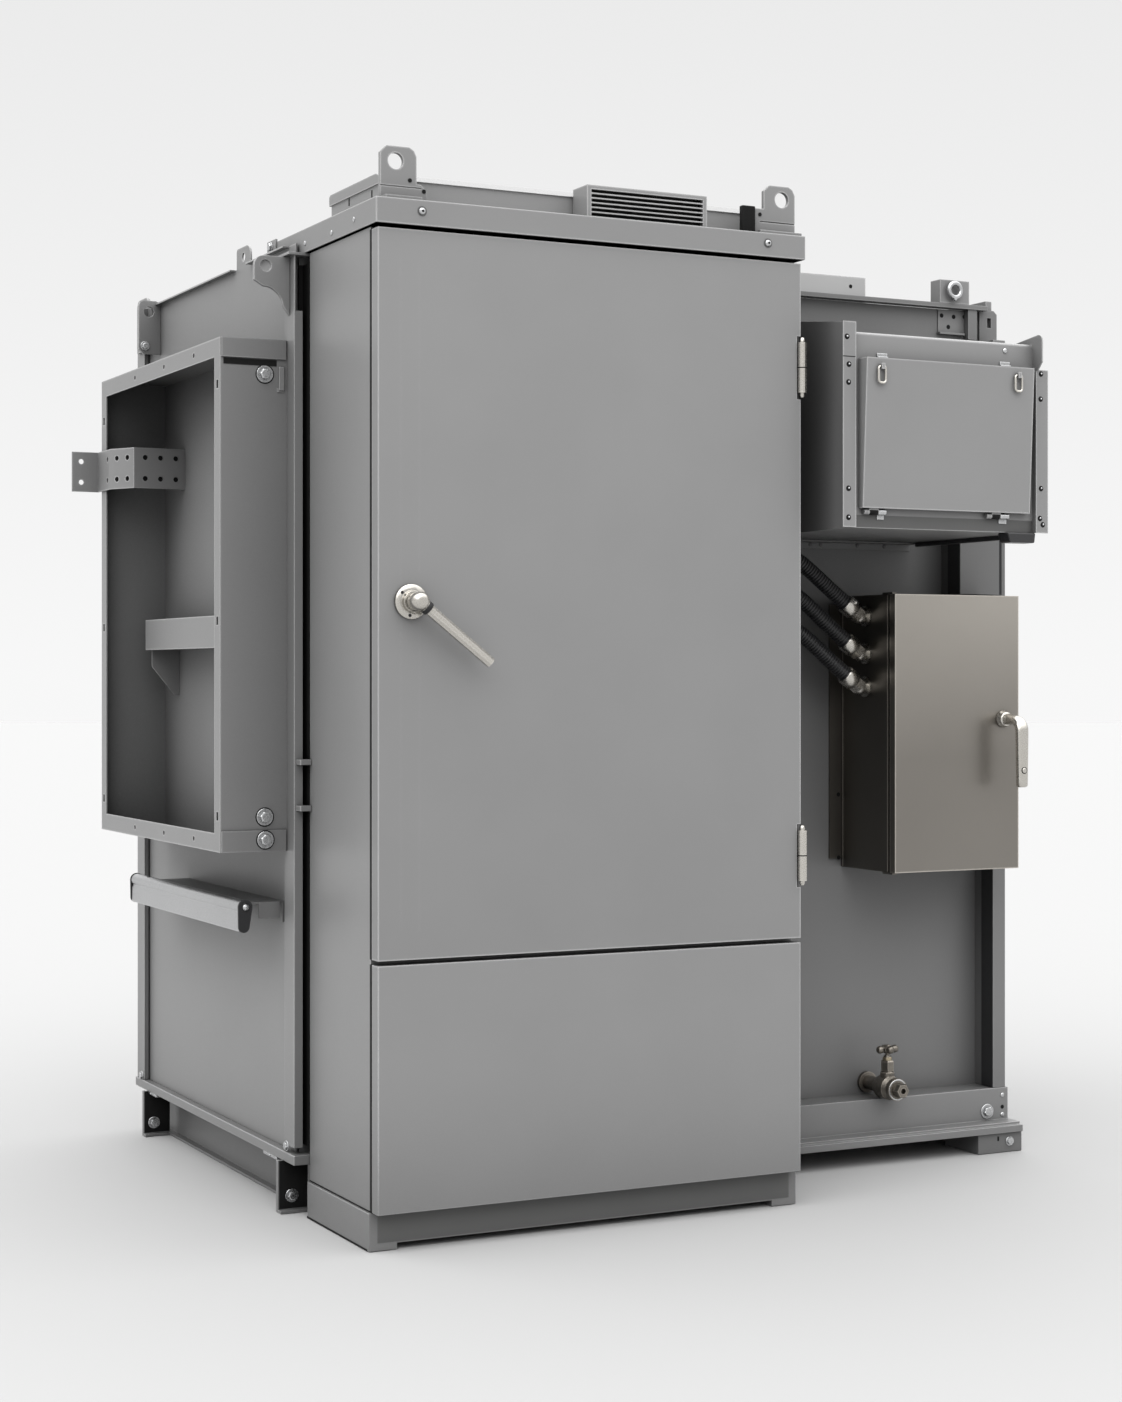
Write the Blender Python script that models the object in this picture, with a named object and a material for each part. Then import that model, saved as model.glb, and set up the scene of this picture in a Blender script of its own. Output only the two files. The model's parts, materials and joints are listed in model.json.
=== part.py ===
import math

import bmesh
import bpy
from mathutils import Matrix, Vector

# Metres. X runs right along the cabinet's front, Y runs back and Z runs up.
# Places are counted from the cabinet body's front left corner on the floor,
# and the last lines move the whole assembly so that its floor centre is the origin.

FIT = 0.0003          # clearance left between pieces that touch
SHEET = 0.003         # folded sheet
PLATE = 0.004         # heavier sheet of the housing

# front cabinet, from the floor up
CABINET_WIDTH = 1.000
CABINET_DEPTH = 0.345
FOOT_PLATE = 0.013
PLINTH_HEIGHT = 0.065
PLINTH_PROUD = 0.006
PANEL_HEIGHT = 0.501
DOOR_SEAM = 0.010
DOOR_HEIGHT = 1.475
DOOR_DEPTH = 0.040
DOOR_GAP = 0.007          # pans' turned edge in front of the cabinet's frame
SEAL_INSET = 0.010
HOOD_SEAM = 0.008
HOOD_HEIGHT = 0.052
HOOD_PROUD = 0.007
HOOD_REACH = 0.560
FRAME_LIP = 0.030
HOOD_ROOF_INSET = 0.060
HOOD_ROOF_FRONT = 0.050
HOOD_ROOF_DEPTH = 0.322
HOOD_ROOF_HEIGHT = 0.079
LID_HEIGHT = 0.024
LID_SLOPE = 0.060         # how far back the lid's sloped front runs
VENT_INSET = 0.228        # vent's right end from the cabinet's right side
VENT_WIDTH = 0.290
VENT_FRONT = -0.020
VENT_HEIGHT = 0.071
VENT_SLOTS = 6
CAB_LUG_INSET = 0.019
CAB_LUG_WIDTH = 0.080
CAB_LUG_HEIGHT = 0.113
CAB_LUG_LEAN = 0.006       # eyes sit this far outwards of the plates' middle
CAB_LUG_DROP = 0.030
CAB_LUG_THICK = 0.010
CAB_LUG_EYE = 0.034
BUFFER_WIDTH = 0.033
BUFFER_DEPTH = 0.014

# door lever, its latch rods and the door hinges
LEVER_X = 0.070
LEVER_RISE = 0.723        # lever axle above the door's lower edge
LEVER_LENGTH = 0.200
LEVER_DROOP = 38.0        # degrees below level at rest
LEVER_ACROSS = 0.021
LEVER_STAND = 0.047       # lever bar's centre in front of the door
HUB_RADIUS = 0.0185
ROSE_RADIUS = 0.0355
SPINDLE_RADIUS = 0.007
ROD_WIDTH = 0.020
ROD_THICK = 0.008
ROD_PLAY = 0.0004
ROD_BACK = 0.0085         # rod's front face behind the cabinet's front plane
ROD_CLEAR = 0.006         # rod tip to the frame's edge with the door free
HINGE_X = -0.001          # hinge axis beyond the cabinet's width
HINGE_Y = -0.043
HINGE_RADIUS = 0.0105
HINGE_LENGTH = 0.110
HINGE_PIN = 0.005
HINGE_UPPER = 1.247       # hinge centres above the door's lower edge
HINGE_LOWER = 0.180

# housing behind the cabinet
HOUSING_LEFT = -0.030
HOUSING_RIGHT = 1.829
HOUSING_FRONT = 0.360
WALL_FRONT = 0.385
HOUSING_BACK = 1.510
HOUSING_TOP = 2.098
WALL_RECESS = 0.0145
POST_LEG = 0.060
POST_FACE = 0.020
ROOF_LEVEL = 2.050
RAISED_LEFT = 1.035
RAISED_RIGHT = 1.470
RAISED_DEPTH = 0.450
RAISED_HEIGHT = 0.085
BEAM_FRONT = 0.360
BEAM_TOP = 2.080
BEAM_THICK = 0.011
BEAM_RIGHT = 1.796
RIGHT_POST_FRONT = 0.310
RIGHT_POST_WIDTH = 0.037
RIGHT_POST_TOP = 1.990
WIDE_POST_WIDTH = 0.124   # wider upper part of the right post
TAB_WIDTH = 0.096
TAB_CENTRE = 0.730
TAB_RISE = 0.046
LUG_WIDTH = 0.094
LUG_THICK = 0.008
LUG_CURL = 0.026
LUG_RISE = 0.022          # rear lugs above the housing's top
LUG_EYE = 0.0125
EYE_BLOCK_LEFT = 1.652
EYE_BLOCK_WIDTH = 0.087
EYE_BLOCK_HEIGHT = 0.057
EYE_BLOCK_DEPTH = 0.040
EYE_RADIUS = 0.017
EYE_WIRE = 0.0042

# base
TRAY_LOW = 0.113
TRAY_HEIGHT = 0.021
TRAY_PROUD = 0.004
TRAY_FRONT = 0.350
RAIL_FRONT = 0.310
RAIL_TOP = 0.149
SILL_LOW = 0.048
SILL_HEIGHT = 0.017
SILL_STEP = 0.006         # second strip on the sill, set back
SILL_FRONT = 0.254
SKID_INSET = 0.066        # runner's web inside the housing's side
SKID_WIDTH = 0.042
SKID_LIP = 0.018
SKID_THICK = 0.006
FOOT_PROUD = 0.015
FOOT_WIDTH = 0.069
FOOT_LIP = 0.018
FOOT_FRONT_Y = 0.420
FOOT_BACK_Y = 1.407
BLOCK_WIDTH = 0.130

# open cable box on the left wall
CABLE_REACH = 0.181       # its open face, left of the cabinet's side
CABLE_FRONT = 0.404
CABLE_WIDTH = 0.906
CABLE_LOW = 0.785
CABLE_HEIGHT = 1.103
CABLE_FLANGE = 0.040
STRAP_LOW = 1.617
STRAP_HEIGHT = 0.098
STRAP_THICK = 0.004
STRAP_TIP = -0.250
STRAP_Y = 1.330
STRAP_TURN = 1.222
STRAP_IN_Y = 1.150
STRAP_IN_X = -0.147
STRAP_HOLE = 0.0065
BAR_FACE = -0.100
BAR_LOW = 1.226
BAR_HEIGHT = 0.073
BAR_END = 1.209
GUSSET_DROP = 0.110

# drop handle under the cable box
HANDLE_X = -0.120
HANDLE_Z = 0.665
HANDLE_FRONT = 0.422
HANDLE_LENGTH = 0.793
HANDLE_RADIUS = 0.015
HANDLE_DROP = 0.052
HANDLE_AXLE = 0.006
SHELF_FRONT = 0.461
SHELF_LENGTH = 0.672
ARM_INSET = 0.014
ARM_WIDTH = 0.020

# terminal box, upper right
TERM_LEFT = 1.088
TERM_WIDTH = 0.491
TERM_FRONT = -0.117
TERM_LOW = 1.487
TERM_HEIGHT = 0.429
TERM_FLANGE = 0.031
TERM_FACE = 0.014         # frame face behind the flanges
EAR_RISE = 0.019
EAR_DEPTH = 0.150
EAR_SLOPE = 0.064         # left side plate's rise from its front to the wall
COVER_SIDE = 0.018
COVER_TRIM = 0.005        # taken off the cover's right side
COVER_LOW = 0.043         # cover's lower edge above the box's underside
COVER_HEIGHT = 0.327
COVER_FOOT_DEPTH = 0.017
COVER_HEAD_DEPTH = 0.034
COVER_HINGE_DROP = 0.008
COVER_KNUCKLE = 0.006
LOOP_WIDTH = 0.024
LOOP_HEIGHT = 0.042
LOOP_WIRE = 0.003
LOOP_INSET = 0.036
LOOP_SHIFT = 0.011        # right loop further in
LOOP_DROP = 0.019

# stainless control box with its door and handle
CONTROL_LEFT = 1.378
CONTROL_WIDTH = 0.355
CONTROL_LOW = 0.703
CONTROL_HEIGHT = 0.651
CONTROL_RIM = 0.182
CONTROL_DOOR_FRONT = 0.154
CONTROL_GAP = 0.006       # door's edge in front of the rim
CONTROL_FLANGE = 0.034
GRIP_INSET = 0.046
GRIP_RISE = 0.357
GRIP_STAND = 0.070
GRIP_LENGTH = 0.160
GRIP_HALF = 0.0115        # half its width at the bend, and at its tip
GRIP_TIP = 0.0085
GRIP_THICK = 0.006        # half its thickness

# ribbed conduits
CONDUIT_Y = 0.275
CONDUIT_RADIUS = 0.0185
CONDUIT_BORE = 0.0125
CONDUIT_PITCH = 0.0072
CONDUIT_CLIMB = 36.0
CONDUIT_STARTS = (0.602, 0.513, 0.434)   # above the control box's underside
CONDUIT_LIFTS = (0.158, 0.166, 0.163)
GLAND_BODY = 0.021
GLAND_NUT = 0.0235

# drain valve
VALVE_X = 1.4515
VALVE_RISE = 0.029        # valve's axis above the rail's shelf
VALVE_REACH = 0.158
VALVE_STEM_Y = 0.294
VALVE_STEM = 0.005
VALVE_TEE = 0.058
VALVE_TOP = 0.098

# levels and edges that follow from the sizes above
PLINTH_TOP = FOOT_PLATE + PLINTH_HEIGHT
PANEL_LOW = PLINTH_TOP + 0.001
PANEL_TOP = PANEL_LOW + PANEL_HEIGHT
DOOR_LOW = PANEL_TOP + DOOR_SEAM
DOOR_TOP = DOOR_LOW + DOOR_HEIGHT
HOOD_LOW = DOOR_TOP + HOOD_SEAM
HOOD_TOP = HOOD_LOW + HOOD_HEIGHT
SHELL_TOP = HOOD_LOW - 0.002
LEVER_Z = DOOR_LOW + LEVER_RISE
AXIS_X = CABINET_WIDTH + HINGE_X
OPEN_LOW = DOOR_LOW + FRAME_LIP
OPEN_TOP = DOOR_TOP - FRAME_LIP
TRAY_TOP = TRAY_LOW + TRAY_HEIGHT
TRAY_LEFT = HOUSING_LEFT - TRAY_PROUD
TRAY_RIGHT = HOUSING_RIGHT + TRAY_PROUD
TRAY_BACK = HOUSING_BACK + TRAY_PROUD
WALL_LEFT_X = HOUSING_LEFT + WALL_RECESS
LUG_NEAR = HOUSING_BACK - 0.024 - LUG_WIDTH
WALL_RIGHT_X = HOUSING_RIGHT - WALL_RECESS
CABLE_X = -CABLE_REACH
CABLE_BACK = CABLE_FRONT + CABLE_WIDTH
CABLE_TOP = CABLE_LOW + CABLE_HEIGHT
CABLE_REAR_X = WALL_LEFT_X - FIT
TERM_RIGHT = TERM_LEFT + TERM_WIDTH
TERM_TOP = TERM_LOW + TERM_HEIGHT
FACE_Y = TERM_FRONT + TERM_FACE
COVER_Z = TERM_LOW + COVER_LOW
COVER_TOP = COVER_Z + COVER_HEIGHT
COVER_AXIS_Y = FACE_Y - COVER_KNUCKLE - 0.002
COVER_AXIS_Z = COVER_Z - COVER_HINGE_DROP
CONTROL_RIGHT = CONTROL_LEFT + CONTROL_WIDTH
CONTROL_TOP = CONTROL_LOW + CONTROL_HEIGHT
CONTROL_AXIS = (CONTROL_LEFT + 0.005, CONTROL_RIM - 0.0110)
GRIP_X = CONTROL_RIGHT - GRIP_INSET
GRIP_Z = CONTROL_LOW + GRIP_RISE
VALVE_Z = RAIL_TOP + VALVE_RISE
HANDLE_BACK = HANDLE_FRONT + HANDLE_LENGTH
SHELF_BACK = SHELF_FRONT + SHELF_LENGTH
LOOP_FRONT = FACE_Y - COVER_HEAD_DEPTH - 2 * LOOP_WIRE - 0.002
ORIGIN = Vector(((STRAP_TIP + HOUSING_RIGHT + FIT + LUG_CURL) / 2, (LOOP_FRONT + TRAY_BACK) / 2, 0))

for old in list(bpy.data.objects):
    bpy.data.objects.remove(old)

assembly = bpy.data.objects.new("assembly", None)
bpy.context.collection.objects.link(assembly)

coats = {
    "paint": (0.33, 0.34, 0.345, 0.0, 0.45),
    "stainless": (0.55, 0.52, 0.48, 1.0, 0.32),
    "nickel": (0.62, 0.60, 0.56, 1.0, 0.25),
    "aluminium": (0.60, 0.61, 0.62, 1.0, 0.35),
    "bronze": (0.36, 0.33, 0.28, 1.0, 0.40),
    "rubber": (0.02, 0.02, 0.02, 0.0, 0.60),
    "plastic": (0.06, 0.06, 0.065, 0.0, 0.50),
    "zinc": (0.50, 0.51, 0.52, 1.0, 0.45),
}


def solid(bm):
    bmesh.ops.recalc_face_normals(bm, faces=bm.faces)
    mesh = bpy.data.meshes.new("shape")
    bm.to_mesh(mesh)
    bm.free()
    obj = bpy.data.objects.new("shape", mesh)
    bpy.context.collection.objects.link(obj)
    return obj


def slab(x, y, z):
    bm = bmesh.new()
    bmesh.ops.create_cube(bm, size=1)
    for v in bm.verts:
        for i, span in enumerate((x, y, z)):
            v.co[i] = max(span) if v.co[i] > 0 else min(span)
    return solid(bm)


def prism(axis, span, outline):
    others = [i for i in range(3) if i != axis]
    bm = bmesh.new()
    rings = []
    for level in span:
        ring = []
        for point in outline:
            co = [0, 0, 0]
            co[axis] = level
            co[others[0]], co[others[1]] = point
            ring.append(bm.verts.new(co))
        rings.append(ring)
    bm.faces.new(rings[0])
    bm.faces.new(rings[1])
    count = len(outline)
    for i in range(count):
        j = (i + 1) % count
        bm.faces.new((rings[0][i], rings[0][j], rings[1][j], rings[1][i]))
    return solid(bm)


def along(start, end):
    way = Vector(end) - Vector(start)
    turn = Vector((0, 0, 1)).rotation_difference(way.normalized()).to_matrix().to_4x4()
    return Matrix.Translation(start) @ turn, way.length


def turned(start, end, profile, sides=16, phase=0.0):
    place, _ = along(start, end)
    bm = bmesh.new()
    rings = []
    for height, radius in profile:
        ring = []
        for i in range(sides):
            a = phase + 2 * math.pi * i / sides
            point = Vector((radius * math.cos(a), radius * math.sin(a), height))
            ring.append(bm.verts.new(place @ point))
        rings.append(ring)
    for low, high in zip(rings, rings[1:]):
        for i in range(sides):
            j = (i + 1) % sides
            bm.faces.new((low[i], low[j], high[j], high[i]))
    bm.faces.new(rings[0])
    bm.faces.new(rings[-1])
    return solid(bm)


def bar(start, end, radius, sides=16, phase=0.0):
    length = (Vector(end) - Vector(start)).length
    return turned(start, end, ((0, radius), (length, radius)), sides, phase)


def combine(base, operation, others):
    for other in others:
        step = base.modifiers.new("step", "BOOLEAN")
        step.operation = operation
        step.solver = "EXACT"
        step.object = other
        bpy.context.view_layer.update()
        graph = bpy.context.evaluated_depsgraph_get()
        mesh = bpy.data.meshes.new_from_object(base.evaluated_get(graph))
        base.modifiers.clear()
        base.data = mesh
        bpy.data.objects.remove(other)
    return base


def cut(base, *others):
    return combine(base, "DIFFERENCE", others)


def join(base, *others):
    return combine(base, "UNION", others)


def arc(centre, radius, start, end, steps):
    points = []
    for i in range(steps + 1):
        a = math.radians(start + (end - start) * i / steps)
        points.append((centre[0] + radius * math.cos(a), centre[1] + radius * math.sin(a)))
    return points


def folded(path, thick):
    # a bent strip's closed outline, its thickness laid to the left of the path
    points = [Vector(p) for p in path]
    ways = [(b - a).normalized() for a, b in zip(points, points[1:])]
    sides = [Vector((-w.y, w.x)) for w in ways]
    offset = [points[0] + sides[0] * thick]
    for i in range(1, len(points) - 1):
        mid = (sides[i - 1] + sides[i]).normalized()
        offset.append(points[i] + mid * thick / mid.dot(sides[i]))
    offset.append(points[-1] + sides[-1] * thick)
    return [tuple(p) for p in points] + [tuple(p) for p in reversed(offset)]


def node(name, obj, coat, origin=(0, 0, 0), parent=None, parent_origin=(0, 0, 0)):
    obj.name = name
    obj.data.name = name
    obj.data.transform(Matrix.Translation(-Vector(origin)))
    obj.parent = parent or assembly
    obj.location = Vector(origin) - Vector(parent_origin)
    material = bpy.data.materials.new(name)
    material.use_nodes = True
    shader = material.node_tree.nodes["Principled BSDF"]
    red, green, blue, metal, rough = coats[coat]
    shader.inputs["Base Color"].default_value = (red, green, blue, 1)
    shader.inputs["Metallic"].default_value = metal
    shader.inputs["Roughness"].default_value = rough
    obj.data.materials.clear()
    obj.data.materials.append(material)
    return obj


# base tray: a shallow inverted pan
tray = slab((TRAY_LEFT, TRAY_RIGHT), (TRAY_FRONT, TRAY_BACK), (TRAY_LOW, TRAY_TOP))
cut(tray, slab((0.110, HOUSING_RIGHT - 0.140), (TRAY_FRONT + 0.020, TRAY_BACK - 0.020),
               (TRAY_LOW - 0.010, TRAY_TOP - PLATE)))
node("base_tray", tray, "paint")

# front rail on the right: an angle standing on a stepped sill
RAIL_LEFT = CABINET_WIDTH + 0.0085
RAIL_RIGHT = HOUSING_RIGHT - 0.010
SILL_RIGHT = HOUSING_RIGHT - 0.0065
rail = prism(0, (RAIL_LEFT, RAIL_RIGHT), folded((
    (WALL_FRONT - FIT, RAIL_TOP), (RAIL_FRONT, RAIL_TOP), (RAIL_FRONT, SILL_LOW + 0.005)), PLATE))
join(rail, slab((RAIL_LEFT, SILL_RIGHT), (SILL_FRONT, TRAY_FRONT - 0.003), (SILL_LOW, SILL_LOW + SILL_HEIGHT)),
     slab((RAIL_LEFT, SILL_RIGHT), (SILL_FRONT + 0.012, TRAY_FRONT - 0.003),
          (SILL_LOW + 0.002, SILL_LOW + SILL_HEIGHT + SILL_STEP)))
node("front_rail", rail, "paint")


def foot(side_x, inner_x, y):
    # an angle foot: a plate that faces front, a narrow fold along its outer edge and a lip on the floor
    plate = slab((side_x, inner_x), (y, y + PLATE), (0, TRAY_LOW - FIT))
    fold = SKID_THICK if inner_x > side_x else -SKID_THICK
    return join(plate, slab((side_x, side_x + fold), (y + 0.001, y + 0.012), (0, TRAY_LOW - FIT)),
                slab((side_x, inner_x), (y - FOOT_LIP, y + 0.001), (0, SKID_THICK)))


def runner(web, sign, front):
    # a rolled beam, its outer lips shorter than the inner ones
    outer, inner = web + sign * SKID_LIP, web - sign * (SKID_WIDTH - SKID_LIP)
    behind = web - sign * SKID_THICK
    high, thick = TRAY_LOW - FIT, SKID_THICK
    return prism(1, (front, HOUSING_BACK - 0.030), (
        (outer, 0), (inner, 0), (inner, thick), (behind, thick), (behind, high - thick), (inner, high - thick),
        (inner, high), (outer, high), (outer, high - thick), (web, high - thick), (web, thick), (outer, thick)))


SKID_LEFT_X = HOUSING_LEFT + SKID_INSET
skid = runner(SKID_LEFT_X, -1, FOOT_FRONT_Y + 0.001)
outer = HOUSING_LEFT - FOOT_PROUD
join(skid, foot(outer, outer + FOOT_WIDTH, FOOT_FRONT_Y), foot(outer, outer + FOOT_WIDTH, FOOT_BACK_Y))
node("skid_left", skid, "paint")

SKID_RIGHT_X = HOUSING_RIGHT - SKID_INSET
skid = runner(SKID_RIGHT_X, 1, TRAY_FRONT)
block_right = HOUSING_RIGHT - 0.0043
outer = HOUSING_RIGHT + FOOT_PROUD
join(skid, slab((block_right - BLOCK_WIDTH, block_right), (SILL_FRONT + 0.008, TRAY_FRONT + 0.050),
                (0, SILL_LOW - FIT)),
     foot(outer, outer - FOOT_WIDTH, FOOT_BACK_Y))
node("skid_right", skid, "paint")

# left wall: a recessed panel with a rim folded out along its top and a lifting tab
wall_z = (TRAY_TOP + FIT, HOUSING_TOP)
wall = slab((WALL_LEFT_X, WALL_LEFT_X + PLATE), (WALL_FRONT + PLATE + 2 * FIT, HOUSING_BACK - 0.006), wall_z)
rim_front = HOUSING_FRONT + POST_LEG + 0.012
# the rear top corner is cut back to the roof, so that the lug's eye is free on both sides
corner_y, corner_z = (LUG_NEAR - 0.002, HOUSING_BACK + 0.01), (ROOF_LEVEL, HOUSING_TOP + 0.01)
cut(wall, slab((WALL_LEFT_X - 0.02, WALL_LEFT_X + 0.02), corner_y, corner_z))
rim_z = (HOUSING_TOP - PLATE, HOUSING_TOP)
tab_y = (TAB_CENTRE - TAB_WIDTH / 2, TAB_CENTRE + TAB_WIDTH / 2)
join(wall, slab((HOUSING_LEFT, WALL_LEFT_X + PLATE / 2), (rim_front, tab_y[0] - 0.006), rim_z),
     slab((HOUSING_LEFT, WALL_LEFT_X + PLATE / 2), (tab_y[1] + 0.006, LUG_NEAR - 0.004), rim_z))
tab_top = HOUSING_TOP + TAB_RISE
tab = prism(0, (WALL_LEFT_X, WALL_LEFT_X + PLATE),
            [(tab_y[0], HOUSING_TOP - 0.010)] + arc((tab_y[0] + 0.026, tab_top - 0.026), 0.026, 180, 90, 5)
            + arc((tab_y[1] - 0.008, tab_top - 0.008), 0.008, 90, 0, 3) + [(tab_y[1], HOUSING_TOP - 0.010)])
cut(tab, bar((WALL_LEFT_X - 0.02, TAB_CENTRE, tab_top - 0.024), (WALL_LEFT_X + 0.02, TAB_CENTRE, tab_top - 0.024),
             0.010, 16))
join(wall, tab)
node("wall_left", wall, "paint")

wall = slab((WALL_RIGHT_X - PLATE, WALL_RIGHT_X), (WALL_FRONT + PLATE + 2 * FIT, HOUSING_BACK - 0.006), wall_z)
cut(wall, slab((WALL_RIGHT_X - 0.02, WALL_RIGHT_X + 0.02), corner_y, corner_z))
join(wall, slab((WALL_RIGHT_X - PLATE / 2, HOUSING_RIGHT), (WALL_FRONT + 0.020, LUG_NEAR - 0.004),
                (HOUSING_TOP - PLATE, HOUSING_TOP)),
     slab((WALL_RIGHT_X - PLATE / 2, HOUSING_RIGHT), (WALL_FRONT + PLATE + 2 * FIT, WALL_FRONT + 0.012),
          (TRAY_TOP + FIT, HOUSING_TOP)))
node("wall_right", wall, "paint")

# rear wall with its corner returns
back = HOUSING_BACK
wall = prism(2, (TRAY_TOP + FIT, HOUSING_TOP), folded((
    (HOUSING_LEFT + 0.012 - FIT, back - POST_LEG), (HOUSING_LEFT, back - POST_LEG), (HOUSING_LEFT, back),
    (HOUSING_RIGHT, back), (HOUSING_RIGHT, back - POST_LEG), (HOUSING_RIGHT - 0.012 + FIT, back - POST_LEG)),
    -PLATE))
for x in ((HOUSING_LEFT - 0.01, WALL_LEFT_X - FIT), (WALL_RIGHT_X + FIT, HOUSING_RIGHT + 0.01)):
    # the corners stop short of the rear lugs' eyes
    cut(wall, slab(x, (back - POST_LEG - 0.01, back - PLATE), corner_z))
node("wall_rear", wall, "paint")

# front wall; right of the cabinet its top folds forward into a flange
wall = slab((-0.0095, HOUSING_RIGHT - 0.003), (WALL_FRONT, WALL_FRONT + PLATE), (TRAY_TOP + FIT, BEAM_TOP - 0.012))
join(wall, slab((RAIL_LEFT, BEAM_RIGHT), (BEAM_FRONT, WALL_FRONT + PLATE), (BEAM_TOP - BEAM_THICK, BEAM_TOP)))
brace = BEAM_RIGHT - 0.057
join(wall, slab((brace, brace + 0.026), (BEAM_FRONT + 0.004, WALL_FRONT + 0.001),
                (BEAM_TOP - 0.085, BEAM_TOP - BEAM_THICK + 0.002)),
     slab((brace - 0.080, brace - 0.006), (BEAM_FRONT + 0.010, WALL_FRONT + 0.001),
          (BEAM_TOP - 0.075, BEAM_TOP - 0.070)))
corner = prism(1, (WALL_FRONT - 0.006, WALL_FRONT + 0.001), (
    (BEAM_RIGHT - 0.012, BEAM_TOP - 0.085), (HOUSING_RIGHT + 0.008, BEAM_TOP - 0.085),
    (HOUSING_RIGHT + 0.008, BEAM_TOP - 0.016), (HOUSING_RIGHT - 0.002, BEAM_TOP - 0.007),
    (BEAM_RIGHT - 0.012, BEAM_TOP - 0.007)))
cut(corner, slab((HOUSING_RIGHT - 0.022, HOUSING_RIGHT - 0.010), (WALL_FRONT - 0.03, WALL_FRONT + 0.03),
                 (BEAM_TOP - 0.050, BEAM_TOP - 0.026)))
slot = slab((HOUSING_RIGHT - 0.022, HOUSING_RIGHT - 0.010), (WALL_FRONT - 0.03, WALL_FRONT + 0.03),
            (BEAM_TOP - 0.050, BEAM_TOP - 0.026))
join(wall, corner)
cut(wall, slot)
node("wall_front", wall, "paint")

# roof plate with a raised piece to the right of the cabinet's hood
roof = slab((WALL_LEFT_X + PLATE + FIT, WALL_RIGHT_X - PLATE - FIT), (WALL_FRONT + PLATE + FIT, back - PLATE - FIT),
            (ROOF_LEVEL - PLATE, ROOF_LEVEL))
raised_y = (WALL_FRONT + 0.030, WALL_FRONT + 0.030 + RAISED_DEPTH)
join(roof, slab((RAISED_LEFT, RAISED_RIGHT), raised_y, (ROOF_LEVEL - 0.002, ROOF_LEVEL + RAISED_HEIGHT)))
cut(roof, slab((RAISED_LEFT + SHEET, RAISED_RIGHT - SHEET), (raised_y[0] + SHEET, raised_y[1] - SHEET),
               (ROOF_LEVEL - 0.020, ROOF_LEVEL + RAISED_HEIGHT - SHEET)))
node("roof", roof, "paint")

# front left post: a bent strip with a return to the wall, and a cap plate under the hood
left = HOUSING_LEFT
lug_top = BEAM_TOP - 0.014
cap_z = (HOOD_LOW - FIT - SKID_THICK, HOOD_LOW - FIT)
post = prism(2, (TRAY_TOP + 0.014, cap_z[0] + 0.002), folded((
    (left + POST_FACE, HOUSING_FRONT), (left, HOUSING_FRONT), (left, HOUSING_FRONT + POST_LEG),
    (WALL_LEFT_X - FIT, HOUSING_FRONT + POST_LEG)), -PLATE))
cut(post, slab((left + PLATE, left + POST_FACE + 0.01), (HOUSING_FRONT - 0.01, HOUSING_FRONT + 0.01),
               (lug_top - 0.118, HOOD_LOW + 0.01)))
join(post, slab((left - 0.015, left + 0.042), (HOUSING_FRONT - 0.004, WALL_FRONT - FIT), cap_z),
     slab((left - 0.015, WALL_LEFT_X - FIT), (HOUSING_FRONT, HOUSING_FRONT + POST_LEG + 0.008), cap_z))
node("post_front_left", post, "paint")

# front right post: a channel that stands on the rail's shelf, wider above the control box
right = HOUSING_RIGHT - 0.018
post = prism(2, (RAIL_TOP + FIT, RIGHT_POST_TOP), folded((
    (right - RIGHT_POST_WIDTH, WALL_FRONT - FIT), (right - RIGHT_POST_WIDTH, RIGHT_POST_FRONT),
    (right, RIGHT_POST_FRONT), (right, WALL_FRONT - FIT)), PLATE))
wide_y = RIGHT_POST_FRONT - PLATE
wide_x = (right - 0.014 - WIDE_POST_WIDTH, right - 0.014)
join(post, prism(2, (CONTROL_TOP + 0.008, TERM_TOP - 0.050), folded((
    (wide_x[0], WALL_FRONT - FIT), (wide_x[0], wide_y), (wide_x[1], wide_y),
    (wide_x[1], RIGHT_POST_FRONT + 0.002)), PLATE)))
node("post_front_right", post, "paint")

# lifting lugs of the housing
lug_y = (HOUSING_FRONT + 0.025, HOUSING_FRONT + 0.035)
outline = [(left - FIT, lug_top - 0.126), (left - FIT, lug_top)]
outline += arc((left - 0.060, lug_top - 0.022), 0.022, 90, 180, 5)
outline += [(left - 0.082, lug_top - 0.053), (left - 0.066, lug_top - 0.063)]
outline += arc((left - 0.060, lug_top - 0.111), 0.045, 90, 5, 7)
lug = prism(1, lug_y, outline)
cut(lug, bar((left - 0.055, lug_y[0] - 0.02, lug_top - 0.022), (left - 0.055, lug_y[1] + 0.02, lug_top - 0.022),
             0.0125, 16))
node("lug_front_left", lug, "paint")


def rear_lug(sign, face):
    # a plate bolted to a rear corner return, its near edge curled outwards
    x = (face, face + sign * LUG_THICK)
    low, high = HOUSING_TOP - 0.112, HOUSING_TOP + LUG_RISE
    near, far = LUG_NEAR, LUG_NEAR + LUG_WIDTH
    outline = [(near, low), (far, low)] + arc((far - 0.020, high - 0.020), 0.020, 0, 90, 4)
    outline += arc((near + 0.020, high - 0.020), 0.020, 90, 180, 4)
    plate = prism(0, x, outline)
    curl = slab((face, face + sign * LUG_CURL), (near, near + LUG_THICK), (low, high - 0.030))
    join(plate, curl)
    eye = (near + far) / 2 + 0.004
    return cut(plate, bar((face - 0.05, eye, high - 0.028), (face + 0.05, eye, high - 0.028), LUG_EYE, 16))


node("lug_rear_left", rear_lug(-1, HOUSING_LEFT - FIT), "paint")
node("lug_rear_right", rear_lug(1, HOUSING_RIGHT + FIT), "paint")

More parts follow.
